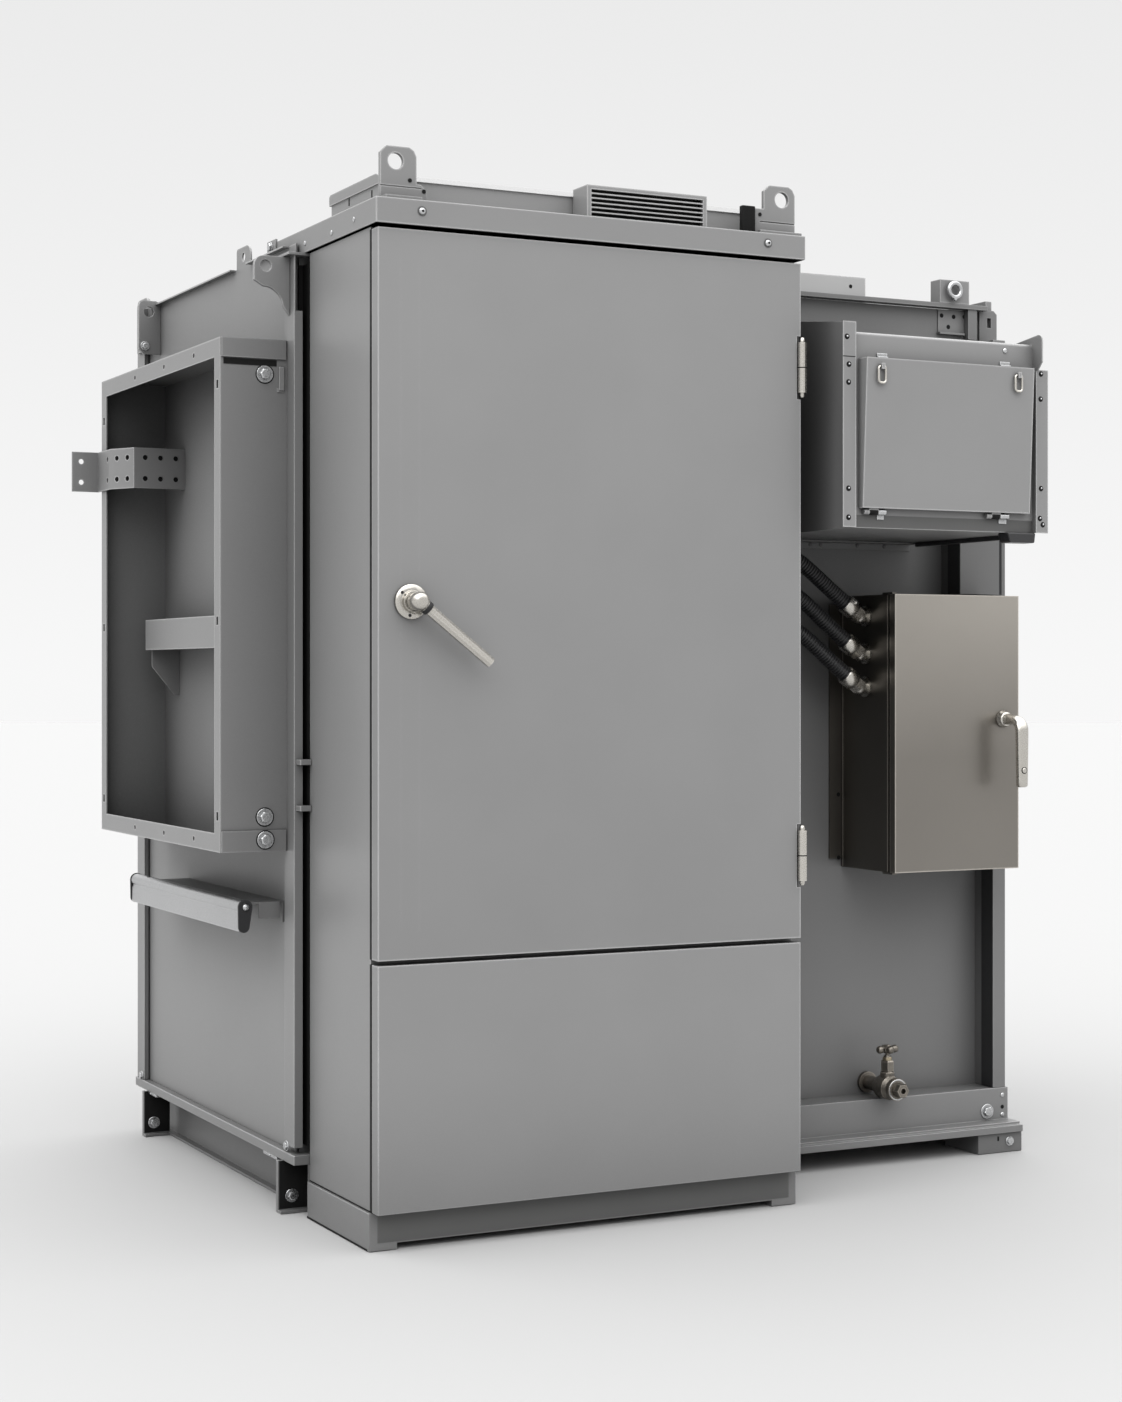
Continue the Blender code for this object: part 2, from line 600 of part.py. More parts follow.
# block with an eye ring on the front flange
block_x = (EYE_BLOCK_LEFT, EYE_BLOCK_LEFT + EYE_BLOCK_WIDTH)
block = slab(block_x, (BEAM_FRONT, BEAM_FRONT + EYE_BLOCK_DEPTH), (BEAM_TOP + FIT, BEAM_TOP + EYE_BLOCK_HEIGHT))
eye_x = EYE_BLOCK_LEFT + 0.036
eye_z = BEAM_TOP + 0.031
ring_y = BEAM_FRONT - 0.012
bm = bmesh.new()
loops = []
for i in range(16):
    a = 2 * math.pi * i / 16
    loop = []
    for j in range(8):
        b = 2 * math.pi * j / 8
        reach = EYE_RADIUS + EYE_WIRE * math.cos(b)
        loop.append(bm.verts.new((eye_x + reach * math.cos(a), ring_y + EYE_WIRE * math.sin(b),
                                  eye_z + reach * math.sin(a))))
    loops.append(loop)
for i in range(16):
    for j in range(8):
        bm.faces.new((loops[i][j], loops[i - 1][j], loops[i - 1][j - 1], loops[i][j - 1]))
ring = solid(bm)
join(block, bar((eye_x, ring_y, eye_z - EYE_RADIUS), (eye_x, BEAM_FRONT + 0.010, eye_z - EYE_RADIUS), 0.0036, 8), ring)
node("eyebolt_block", block, "paint")

# open cable box on the left wall
box = slab((CABLE_X, CABLE_REAR_X), (CABLE_FRONT, CABLE_BACK), (CABLE_LOW, CABLE_TOP))
cut(box, slab((CABLE_X + SHEET, CABLE_REAR_X - SHEET), (CABLE_FRONT + SHEET, CABLE_BACK - SHEET),
              (CABLE_LOW + SHEET, CABLE_TOP - SHEET)),
    slab((CABLE_X - 0.05, CABLE_X + 0.05), (CABLE_FRONT + CABLE_FLANGE, CABLE_BACK - CABLE_FLANGE),
         (CABLE_LOW + CABLE_FLANGE, CABLE_TOP - CABLE_FLANGE)),
    slab((HOUSING_LEFT - FIT, 0), (CABLE_FRONT - 0.05, HOUSING_FRONT + POST_LEG + 2 * FIT),
         (CABLE_LOW - 0.05, CABLE_TOP + 0.05)))
join(box, slab((CABLE_X + 0.002, HOUSING_LEFT - 0.004), (CABLE_FRONT - 0.004, CABLE_FRONT + 0.001),
               (CABLE_TOP - 0.042, CABLE_TOP)),
     slab((CABLE_X + 0.002, HOUSING_LEFT - 0.004), (CABLE_FRONT - 0.004, CABLE_FRONT + 0.001),
          (CABLE_LOW, CABLE_LOW + 0.046)))
for share in (0.31, 0.56, 0.80):
    y = CABLE_BACK - share * CABLE_WIDTH
    for z in (CABLE_TOP - CABLE_FLANGE / 2, CABLE_LOW + CABLE_FLANGE / 2):
        cut(box, bar((CABLE_X - 0.01, y, z), (CABLE_X + 0.01, y, z), 0.0055, 12))
for share in (0.09, 0.55, 0.93):
    z = CABLE_TOP - share * CABLE_HEIGHT
    for y in (CABLE_FRONT + CABLE_FLANGE / 2, CABLE_BACK - CABLE_FLANGE / 2):
        cut(box, slab((CABLE_X - 0.01, CABLE_X + 0.01), (y - 0.006, y + 0.006), (z - 0.009, z + 0.009)))
node("cable_box", box, "paint")

# channel bar across the cable box with its end arm and gusset
web = BAR_FACE
deep = web + 0.034
bar_z = (BAR_LOW, BAR_LOW + BAR_HEIGHT)
channel = prism(1, (CABLE_FRONT + SHEET + FIT, BAR_END), folded((
    (deep, bar_z[1]), (web, bar_z[1]), (web, bar_z[0]), (deep, bar_z[0])), SHEET))
rear_x = CABLE_REAR_X - SHEET - FIT
join(channel, slab((web + 0.001, rear_x), (BAR_END - 0.030, BAR_END - 0.026), (bar_z[0], bar_z[1] - 0.001)),
     prism(1, (BAR_END - 0.014, BAR_END - 0.010), (
         (web + 0.012, bar_z[0] + 0.002), (rear_x, bar_z[0] + 0.002), (rear_x, bar_z[0] - GUSSET_DROP),
         (rear_x - 0.012, bar_z[0] - GUSSET_DROP), (web + 0.012, bar_z[0] - 0.040))),
     slab((web + 0.001, rear_x), (BAR_END - 0.032, BAR_END - 0.0005), (bar_z[0], bar_z[0] + SHEET)))
node("cable_bar", channel, "paint")

# perforated strap, bent from the wall round the far flange
face_x = CABLE_X - FIT
path = ((STRAP_TIP, STRAP_Y), (face_x - STRAP_THICK, STRAP_Y), (face_x - STRAP_THICK, STRAP_TURN),
        (STRAP_IN_X, STRAP_IN_Y), (rear_x, STRAP_IN_Y), (rear_x, STRAP_IN_Y + 0.034))
strap = prism(2, (STRAP_LOW, STRAP_LOW + STRAP_HEIGHT), folded(path, STRAP_THICK))


def strap_holes(start, end, shares):
    a, b = Vector(start), Vector(end)
    way = (b - a).normalized()
    side = Vector((-way.y, way.x)) * 0.012
    for share in shares:
        p = a + (b - a) * share
        for row in (0.24, 0.76):
            z = STRAP_LOW + row * STRAP_HEIGHT
            cut(strap, bar((p.x - side.x, p.y - side.y, z), (p.x + side.x, p.y + side.y, z), STRAP_HOLE, 10))


strap_holes(path[0], path[1], (0.36,))
strap_holes(path[1], path[2], (0.78,))
strap_holes(path[2], path[3], (0.28, 0.72))
strap_holes(path[3], path[4], (0.22, 0.52, 0.82))
node("cable_strap", strap, "paint")

# bracket and drop handle under the cable box
shelf_z = HANDLE_Z + 0.006
shelf = prism(1, (SHELF_FRONT, SHELF_BACK), folded((
    (HANDLE_X + HANDLE_RADIUS + 0.006, shelf_z), (WALL_LEFT_X - FIT, shelf_z), (WALL_LEFT_X - FIT, shelf_z - 0.046)),
    -PLATE))
axle = bar((HANDLE_X, HANDLE_FRONT + 0.006, HANDLE_Z), (HANDLE_X, HANDLE_BACK - 0.006, HANDLE_Z), HANDLE_AXLE, 12)
arms = (SHELF_FRONT + ARM_INSET, SHELF_BACK - ARM_INSET - ARM_WIDTH)
for y in arms:
    join(shelf, slab((HANDLE_X - 0.001, HANDLE_X + HANDLE_RADIUS + 0.020), (y, y + ARM_WIDTH),
                     (HANDLE_Z - 0.004, shelf_z - 0.001)))
join(shelf, axle, slab((HANDLE_X + HANDLE_RADIUS + 0.030, WALL_LEFT_X - 0.012), (SHELF_FRONT - PLATE, SHELF_FRONT + 0.001),
                       (shelf_z - 0.036, shelf_z)))
node("handle_bracket", shelf, "paint")

outline = arc((0, 0), HANDLE_RADIUS, -60, 220, 14)
outline += [(-HANDLE_RADIUS + 0.0015, -0.020), (-HANDLE_RADIUS + 0.0015, -HANDLE_DROP),
            (-HANDLE_RADIUS + 0.010, -HANDLE_DROP), (-HANDLE_RADIUS + 0.010, -HANDLE_DROP + 0.004),
            (-HANDLE_RADIUS + 0.005, -HANDLE_DROP + 0.004), (-HANDLE_RADIUS + 0.005, -0.020), (-0.002, -0.0145)]
grip = prism(1, (HANDLE_FRONT, HANDLE_BACK), [(HANDLE_X + x, HANDLE_Z + z) for x, z in outline])
cut(grip, bar((HANDLE_X, HANDLE_FRONT - 0.02, HANDLE_Z), (HANDLE_X, HANDLE_BACK + 0.02, HANDLE_Z),
              HANDLE_AXLE + 0.0008, 12))
for y in arms:
    cut(grip, slab((HANDLE_X - 0.005, HANDLE_X + 0.03), (y - 0.002, y + ARM_WIDTH + 0.002),
                   (HANDLE_Z - 0.0055, HANDLE_Z + 0.03)))
node("drop_handle", grip, "aluminium", (HANDLE_X, (HANDLE_FRONT + HANDLE_BACK) / 2, HANDLE_Z))

# terminal box: two flanged side plates, a shell between them and a framed mouth
wall_y = WALL_FRONT - FIT
term = prism(0, (TERM_LEFT, TERM_RIGHT), [(wall_y, TERM_LOW), (FACE_Y, TERM_LOW)]
             + arc((FACE_Y + 0.008, TERM_TOP - 0.008), 0.008, 180, 90, 4) + [(wall_y, TERM_TOP)])
cut(term, slab((TERM_LEFT + SHEET, TERM_RIGHT - SHEET), (FACE_Y + SHEET, wall_y + 0.02),
               (TERM_LOW + SHEET, TERM_TOP - SHEET)),
    slab((TERM_LEFT + 0.034, TERM_RIGHT - 0.034), (FACE_Y - 0.02, FACE_Y + 0.02),
         (TERM_LOW + 0.052, COVER_TOP - 0.014)))
for x, sign in ((TERM_LEFT, -1), (TERM_RIGHT, 1)):
    inner = x - sign * SHEET
    join(term, slab((inner, x), (TERM_FRONT, FACE_Y + 0.010), (TERM_LOW, COVER_TOP if sign > 0 else TERM_TOP)))
    flange_top = COVER_TOP if sign > 0 else TERM_TOP + EAR_RISE
    join(term, slab((inner, x + sign * TERM_FLANGE), (TERM_FRONT, TERM_FRONT + SHEET), (TERM_LOW, flange_top)))
ear = prism(0, (TERM_RIGHT - SHEET, TERM_RIGHT),
            [(TERM_FRONT - 0.022 + EAR_DEPTH, TERM_TOP - 0.010), (TERM_FRONT - 0.022 + EAR_DEPTH, TERM_TOP + 0.002)]
            + arc((TERM_FRONT - 0.008, TERM_TOP + EAR_RISE - 0.014), 0.014, 90, 180, 4)
            + [(TERM_FRONT - 0.022, COVER_TOP + 0.016), (TERM_FRONT - 0.006, COVER_TOP - 0.002),
               (TERM_FRONT + 0.030, COVER_TOP - 0.002), (TERM_FRONT + 0.030, TERM_TOP - 0.010)])
join(term, ear)
ear = prism(0, (TERM_LEFT, TERM_LEFT + SHEET), (
    (TERM_FRONT, TERM_TOP - 0.010), (TERM_FRONT, TERM_TOP + EAR_RISE),
    (wall_y - 0.002, TERM_TOP + EAR_RISE + EAR_SLOPE), (wall_y - 0.002, TERM_TOP - 0.010)))
join(term, ear)
hinge_xs = (TERM_LEFT + 0.050, TERM_RIGHT - 0.113)
pin_y, pin_z = COVER_AXIS_Y, COVER_AXIS_Z
for x in hinge_xs:
    for side in (-1, 1):
        a, b = x + side * 0.0125, x + side * 0.0245
        join(term, bar((min(a, b), pin_y, pin_z), (max(a, b), pin_y, pin_z), COVER_KNUCKLE, 12),
             slab((a, b), (pin_y, FACE_Y + 0.001), (pin_z - 0.005, pin_z + 0.003)))
    join(term, bar((x - 0.020, pin_y, pin_z), (x + 0.020, pin_y, pin_z), 0.003, 8))
node("terminal_box", term, "paint")

# wedge shaped cover, deeper at its head, hinged along its foot
cover_x = (TERM_LEFT + COVER_SIDE, TERM_RIGHT - COVER_SIDE - COVER_TRIM)
rest = FACE_Y - 0.0005
cover_at = ((cover_x[0] + cover_x[1]) / 2, COVER_AXIS_Y, COVER_AXIS_Z)
cover = prism(0, cover_x, ((rest, COVER_Z), (rest - COVER_FOOT_DEPTH, COVER_Z),
                           (rest - COVER_HEAD_DEPTH, COVER_TOP), (rest, COVER_TOP)))
cut(cover, prism(0, (cover_x[0] + SHEET, cover_x[1] - SHEET), (
    (rest + 0.02, COVER_Z + SHEET), (rest - COVER_FOOT_DEPTH + SHEET, COVER_Z + SHEET),
    (rest - COVER_HEAD_DEPTH + SHEET, COVER_TOP - SHEET), (rest + 0.02, COVER_TOP - SHEET))))
lean = (COVER_HEAD_DEPTH - COVER_FOOT_DEPTH) / COVER_HEIGHT
loop_z = COVER_TOP - LOOP_DROP
loop_face = rest - COVER_FOOT_DEPTH - lean * (loop_z - COVER_Z)
loop_y = loop_face - LOOP_WIRE - 0.0022
loop_xs = (cover_x[0] + LOOP_INSET, cover_x[1] - LOOP_INSET - LOOP_SHIFT)
for x in hinge_xs:
    join(cover, bar((x - 0.012, pin_y, pin_z), (x + 0.012, pin_y, pin_z), COVER_KNUCKLE, 12),
         slab((x - 0.012, x + 0.012), (pin_y - 0.0055, pin_y + 0.0030), (pin_z, COVER_Z + 0.002)))
    cut(cover, bar((x - 0.03, pin_y, pin_z), (x + 0.03, pin_y, pin_z), 0.0036, 8))
for x in loop_xs:
    # a staple round the loop's upper wire
    staple = slab((x - 0.004, x + 0.004), (loop_y - 0.0065, loop_face + 0.002), (loop_z - 0.0065, loop_z + 0.0065))
    cut(staple, bar((x - 0.02, loop_y, loop_z), (x + 0.02, loop_y, loop_z), LOOP_WIRE + 0.0006, 12))
    join(cover, staple)
node("terminal_cover", cover, "paint", cover_at)
cover = bpy.data.objects["terminal_cover"]

for name, x in zip(("latch_left", "latch_right"), loop_xs):
    half, drop, bend = LOOP_WIDTH / 2 - LOOP_WIRE, LOOP_HEIGHT - 2 * LOOP_WIRE, 0.006
    track = arc((half - bend, -bend), bend, 90, 0, 3) + arc((half - bend, bend - drop), bend, 0, -90, 3)
    track += arc((bend - half, bend - drop), bend, -90, -180, 3) + arc((bend - half, -bend), bend, 180, 90, 3)
    bm = bmesh.new()
    rings = []
    count = len(track)
    for i in range(count):
        p = Vector(track[i])
        way = (Vector(track[(i + 1) % count]) - Vector(track[i - 1])).normalized()
        out = Vector((-way.y, way.x))
        ring = []
        for j in range(8):
            b = 2 * math.pi * j / 8
            q = p + out * LOOP_WIRE * math.cos(b)
            ring.append(bm.verts.new((x + q.x, loop_y + LOOP_WIRE * math.sin(b), loop_z + q.y)))
        rings.append(ring)
    for i in range(count):
        for j in range(8):
            bm.faces.new((rings[i][j], rings[i - 1][j], rings[i - 1][j - 1], rings[i][j - 1]))
    node(name, solid(bm), "nickel", (x, loop_y, loop_z), cover, cover_at)

# insulating panel with three bushings at the back of the terminal box
panel = slab((TERM_LEFT + SHEET + FIT, TERM_RIGHT - SHEET - FIT), (wall_y - 0.030, wall_y - 0.018),
             (TERM_LOW + SHEET + FIT, TERM_TOP - SHEET - FIT))
for share in (0.22, 0.50, 0.78):
    x = TERM_LEFT + share * TERM_WIDTH
    z = TERM_LOW + 0.55 * TERM_HEIGHT
    join(panel, turned((x, wall_y - 0.024, z), (x, wall_y - 0.200, z), (
        (0, 0.040), (0.030, 0.040), (0.034, 0.030), (0.060, 0.030), (0.064, 0.036), (0.072, 0.036), (0.076, 0.028),
        (0.100, 0.028), (0.104, 0.013), (0.150, 0.013)), 16))
node("bushing_panel", panel, "plastic")

# stainless control box with a wall flange, cable holes and door pins
box = slab((CONTROL_LEFT, CONTROL_RIGHT), (CONTROL_RIM, wall_y - 0.002), (CONTROL_LOW, CONTROL_TOP))
join(box, slab((CONTROL_LEFT - CONTROL_FLANGE, CONTROL_RIGHT + CONTROL_FLANGE), (wall_y - PLATE, wall_y),
               (CONTROL_LOW + 0.020, CONTROL_TOP - 0.020)))
cut(box, slab((CONTROL_LEFT + SHEET, CONTROL_RIGHT - SHEET), (CONTROL_RIM + SHEET, wall_y - PLATE),
              (CONTROL_LOW + SHEET, CONTROL_TOP - SHEET)),
    slab((CONTROL_LEFT + 0.016, CONTROL_RIGHT - 0.016), (CONTROL_RIM - 0.02, CONTROL_RIM + 0.02),
         (CONTROL_LOW + 0.016, CONTROL_TOP - 0.016)))
conduit_zs = [CONTROL_LOW + rise for rise in CONDUIT_STARTS]
for z in conduit_zs:
    cut(box, bar((CONTROL_LEFT - 0.02, CONDUIT_Y, z), (CONTROL_LEFT + 0.02, CONDUIT_Y, z), CONDUIT_BORE, 12))
axis_x, axis_y = CONTROL_AXIS
for edge, sign in ((CONTROL_TOP, 1), (CONTROL_LOW, -1)):
    join(box, slab((CONTROL_LEFT, CONTROL_LEFT + 0.012), (CONTROL_RIM + 0.004, CONTROL_RIM + 0.024),
                   (edge - sign * 0.002, edge + sign * 0.0045)),
         slab((CONTROL_LEFT, CONTROL_LEFT + 0.012), (axis_y - 0.006, CONTROL_RIM + 0.010),
              (edge + sign * 0.0008, edge + sign * 0.0045)),
         bar((axis_x, axis_y, edge - sign * 0.010), (axis_x, axis_y, edge + sign * 0.0020), 0.0025, 8))
node("control_box", box, "stainless")

door_y = (CONTROL_DOOR_FRONT, CONTROL_RIM - CONTROL_GAP)
door_origin = (axis_x, axis_y, (CONTROL_LOW + CONTROL_TOP) / 2)
door = slab((CONTROL_LEFT, CONTROL_RIGHT), door_y, (CONTROL_LOW, CONTROL_TOP))
cut(door, slab((CONTROL_LEFT + SHEET, CONTROL_RIGHT - SHEET), (door_y[0] + SHEET, door_y[1] + 0.02),
               (CONTROL_LOW + SHEET, CONTROL_TOP - SHEET)),
    bar((axis_x, axis_y, CONTROL_LOW - 0.02), (axis_x, axis_y, CONTROL_LOW + 0.02), 0.0031, 8),
    bar((axis_x, axis_y, CONTROL_TOP - 0.02), (axis_x, axis_y, CONTROL_TOP + 0.02), 0.0031, 8),
    bar((GRIP_X, door_y[0] - 0.02, GRIP_Z), (GRIP_X, door_y[0] + 0.02, GRIP_Z), 0.0068, 12))
node("control_door", door, "stainless", door_origin)
door = bpy.data.objects["control_door"]

# handle: spindle, stem and a flat grip bent down, its corners rounded and its tip narrower
grip_y = door_y[0] - GRIP_STAND
bend = 0.022
track = [(0.0, 0.0)]
track += [(GRIP_STAND - bend + x, z - bend) for x, z in arc((0, 0), bend, 90, 0, 5)]
track += [(GRIP_STAND, -GRIP_LENGTH + over) for over in (0.006, 0.0015, 0.0)]
shrink = [1.0] * (len(track) - 2) + [0.86, 0.55]
bm = bmesh.new()
rings = []
for i in range(len(track)):
    p = Vector(track[i])
    wide = (GRIP_HALF + (GRIP_TIP - GRIP_HALF) * max(0, -track[i][1] / GRIP_LENGTH)) * shrink[i]
    way = (Vector(track[min(i + 1, len(track) - 1)]) - Vector(track[max(i - 1, 0)])).normalized()
    out = Vector((-way.y, way.x))
    ring = []
    for j in range(12):
        b = 2 * math.pi * j / 12
        c, s = math.cos(b), math.sin(b)
        q = p + out * GRIP_THICK * shrink[i] * math.copysign(abs(c) ** 0.5, c)
        x = GRIP_X + wide * math.copysign(abs(s) ** 0.5, s)
        ring.append(bm.verts.new((x, door_y[0] - 0.004 - q.x, GRIP_Z + q.y)))
    rings.append(ring)
for low, high in zip(rings, rings[1:]):
    for j in range(12):
        bm.faces.new((low[j], low[j - 1], high[j - 1], high[j]))
bm.faces.new(rings[0])
bm.faces.new(rings[-1])
grip = solid(bm)
join(grip, bar((GRIP_X, door_y[0] - 0.016, GRIP_Z), (GRIP_X, door_y[0] - FIT, GRIP_Z), 0.016, 20),
     bar((GRIP_X, door_y[0] - 0.010, GRIP_Z), (GRIP_X, door_y[0] + 0.022, GRIP_Z), 0.006, 12),
     slab((GRIP_X - 0.008, GRIP_X + 0.008), (door_y[0] + 0.014, door_y[0] + 0.019), (GRIP_Z - 0.034, GRIP_Z + 0.008)))
node("control_handle", grip, "nickel", (GRIP_X, door_y[0], GRIP_Z), door, door_origin)

# plate with terminal rows inside the control box
plate_y = wall_y - PLATE - FIT
plate = slab((CONTROL_LEFT + 0.030, CONTROL_RIGHT - 0.030), (plate_y - 0.018, plate_y - 0.015),
             (CONTROL_LOW + 0.040, CONTROL_TOP - 0.040))
for x in (CONTROL_LEFT + 0.045, CONTROL_RIGHT - 0.045):
    for z in (CONTROL_LOW + 0.060, CONTROL_TOP - 0.060):
        join(plate, bar((x, plate_y - 0.016, z), (x, plate_y, z), 0.006, 8))
for share, deep in ((0.24, 0.050), (0.50, 0.075), (0.76, 0.060)):
    z = CONTROL_LOW + share * CONTROL_HEIGHT
    join(plate, slab((CONTROL_LEFT + 0.060, CONTROL_RIGHT - 0.070), (plate_y - 0.017 - deep, plate_y - 0.017),
                     (z - 0.040, z + 0.040)))
node("control_plate", plate, "plastic")

# three ribbed conduits with angled glands on the control box and a gland plate on the cabinet
climb = math.radians(CONDUIT_CLIMB)
up = Vector((-math.cos(climb), 0, math.sin(climb)))
plate_face = CABINET_WIDTH + FIT
nut_end = plate_face + 0.052
entry = slab((plate_face, plate_face + PLATE), (CONDUIT_Y - 0.042, CONDUIT_Y + 0.042),
             (conduit_zs[2] + CONDUIT_LIFTS[2] - 0.045, conduit_zs[0] + CONDUIT_LIFTS[0] + 0.045))
for number in range(3):
    z = conduit_zs[number]
    level = z + CONDUIT_LIFTS[number]
    wall_point = Vector((CONTROL_LEFT - FIT, CONDUIT_Y, z))
    elbow = wall_point + Vector((-0.018, 0, 0))
    mouth = elbow + up * 0.052
    gland = turned(wall_point, elbow, ((0, 0.0245), (0.005, 0.0245), (0.0055, 0.017), (0.018, 0.017)), 16)
    join(gland, turned(elbow - up * 0.016, mouth, (
        (0, 0.010), (0.004, 0.016), (0.012, 0.0185), (0.020, 0.0185)), 16),
        turned(elbow + up * 0.002, mouth, ((0, GLAND_BODY), (0.020, GLAND_BODY)), 6),
        turned(elbow + up * 0.020, mouth, ((0, 0.0215), (0.003, GLAND_NUT), (0.028, GLAND_NUT), (0.032, 0.0215)), 16))
    cut(gland, bar(elbow + up * 0.030, mouth + up * 0.02, CONDUIT_RADIUS + 0.0006, 16),
        bar(elbow, mouth, CONDUIT_BORE, 12),
        bar(elbow + Vector((-0.004, 0, 0)), wall_point + Vector((0.02, 0, 0)), CONDUIT_BORE - 0.0010, 12))
    node("gland_%d" % (number + 1), gland, "nickel")

    start = elbow + up * 0.0315
    end = Vector((plate_face + 0.026, CONDUIT_Y, level))
    first = start + up * 0.042
    last = end + Vector((0.046, 0, 0))
    reach = (first - last).length * 0.40
    hold = (first, first + up * reach, last + Vector((reach, 0, 0)), last)
    track = [start]
    fine = 60
    for i in range(fine + 1):
        t = i / fine
        weights = ((1 - t) ** 3, 3 * t * (1 - t) ** 2, 3 * t * t * (1 - t), t ** 3)
        track.append(sum((w * p for w, p in zip(weights, hold)), Vector()))
    track.append(end)
    lengths = [0.0]
    for a, b in zip(track, track[1:]):
        lengths.append(lengths[-1] + (b - a).length)

    def spot(distance):
        for i in range(1, len(track)):
            if distance <= lengths[i] or i == len(track) - 1:
                share = (distance - lengths[i - 1]) / (lengths[i] - lengths[i - 1])
                return track[i - 1].lerp(track[i], share)

    def swept(name, points, radii, depth, resolution):
        curve = bpy.data.curves.new(name, "CURVE")
        curve.dimensions = "3D"
        curve.bevel_depth = depth
        curve.bevel_resolution = resolution
        curve.use_fill_caps = True
        spline = curve.splines.new("POLY")
        spline.points.add(len(points) - 1)
        for point, co, radius in zip(spline.points, points, radii):
            point.co = (co.x, co.y, co.z, 1)
            point.radius = radius
        guide = bpy.data.objects.new(name, curve)
        bpy.context.collection.objects.link(guide)
        bpy.context.view_layer.update()
        graph = bpy.context.evaluated_depsgraph_get()
        mesh = bpy.data.meshes.new_from_object(guide.evaluated_get(graph))
        bpy.data.objects.remove(guide)
        bm = bmesh.new()
        bm.from_mesh(mesh)
        bmesh.ops.remove_doubles(bm, verts=bm.verts, dist=0.00001)
        return solid(bm)

    ribs = int(lengths[-1] / CONDUIT_PITCH)
    points = [spot(lengths[-1] * i / (2 * ribs)) for i in range(2 * ribs + 1)]
    radii = [0.86 if i % 2 == 0 else 1.0 for i in range(2 * ribs + 1)]
    hose = swept("hose", points, radii, CONDUIT_RADIUS, 2)
    inner = [start - up * 0.01] + [spot(lengths[-1] * i / 14) for i in range(15)] + [end - Vector((0.01, 0, 0))]
    cut(hose, swept("bore", inner, [1.0] * len(inner), CONDUIT_BORE, 2))
    node("conduit_%d" % (number + 1), hose, "rubber")

    root = Vector((plate_face + PLATE - 0.001, CONDUIT_Y, level))
    tip = Vector((nut_end, CONDUIT_Y, level))
    join(entry, turned(root, tip, ((0, GLAND_BODY), (0.020, GLAND_BODY)), 6),
         turned(root + Vector((0.018, 0, 0)), tip, ((0, 0.0215), (0.003, GLAND_NUT), (0.027, GLAND_NUT), (0.031, 0.0215)), 16))
    cut(entry, bar(Vector((plate_face + 0.024, CONDUIT_Y, level)), tip + Vector((0.02, 0, 0)), CONDUIT_RADIUS + 0.0006, 16),
        bar(Vector((plate_face - 0.02, CONDUIT_Y, level)), tip, CONDUIT_BORE, 12))
node("gland_plate", entry, "nickel")

# drain valve with a hexagonal plug in its outlet, and its tee handle
seat = Vector((VALVE_X, wall_y, VALVE_Z))
tip = Vector((VALVE_X, wall_y - VALVE_REACH, VALVE_Z))
valve = turned(seat, tip, (
    (0, 0.0255), (0.009, 0.0255), (0.010, 0.017), (0.056, 0.017), (0.062, 0.024), (0.072, 0.029), (0.106, 0.029),
    (0.114, 0.022), (0.120, 0.022), (0.121, 0.0265), (0.135, 0.0265), (0.136, 0.018), (VALVE_REACH - 0.017, 0.018)), 20)
join(valve, turned(tip + Vector((0, 0.018, 0)), tip, ((0, 0.0185), (0.015, 0.0185), (0.018, 0.016)), 6),
     turned((VALVE_X, VALVE_STEM_Y, VALVE_Z), (VALVE_X, VALVE_STEM_Y, VALVE_Z + 0.1), (
         (0, 0.017), (0.036, 0.017), (0.039, 0.014), (0.042, 0.014)), 16),
     turned((VALVE_X, VALVE_STEM_Y, VALVE_Z + 0.040), (VALVE_X, VALVE_STEM_Y, VALVE_Z + 0.1), (
         (0, 0.0165), (0.022, 0.0165), (0.025, 0.0135)), 6),
     turned((VALVE_X, VALVE_STEM_Y, VALVE_Z + 0.060), (VALVE_X, VALVE_STEM_Y, VALVE_Z + 0.1), (
         (0, 0.0092), (0.014, 0.0092), (0.017, 0.0075)), 12))
cut(valve, bar((VALVE_X, VALVE_STEM_Y, VALVE_Z + 0.030), (VALVE_X, VALVE_STEM_Y, VALVE_Z + 0.1), VALVE_STEM + 0.0005, 12),
    bar(tip - Vector((0, 0.01, 0)), tip + Vector((0, 0.010, 0)), 0.0075, 6))
node("valve_body", valve, "bronze")

top = VALVE_Z + VALVE_TOP
half = VALVE_TEE / 2
tee = bar((VALVE_X, VALVE_STEM_Y, VALVE_Z + 0.032), (VALVE_X, VALVE_STEM_Y, top - 0.002), VALVE_STEM, 12)
join(tee, turned((VALVE_X, VALVE_STEM_Y, top - 0.016), (VALVE_X, VALVE_STEM_Y, top + 0.1), (
    (0, 0.009), (0.004, 0.012), (0.014, 0.012), (0.020, 0.006)), 12))
for way in (Vector((1, 0, 0)), Vector((0, 1, 0))):
    size = half if way.x else half * 0.72
    centre = Vector((VALVE_X, VALVE_STEM_Y, top - 0.007))
    join(tee, turned(centre - way * size, centre + way * size, (
        (0, 0.0045), (0.003, 0.0084), (0.008, 0.0098), (0.014, 0.0084), (0.019, 0.0062), (2 * size - 0.019, 0.0062),
        (2 * size - 0.014, 0.0084), (2 * size - 0.008, 0.0098), (2 * size - 0.003, 0.0084), (2 * size, 0.0045)), 10))
node("valve_handle", tee, "bronze", (VALVE_X, VALVE_STEM_Y, top))

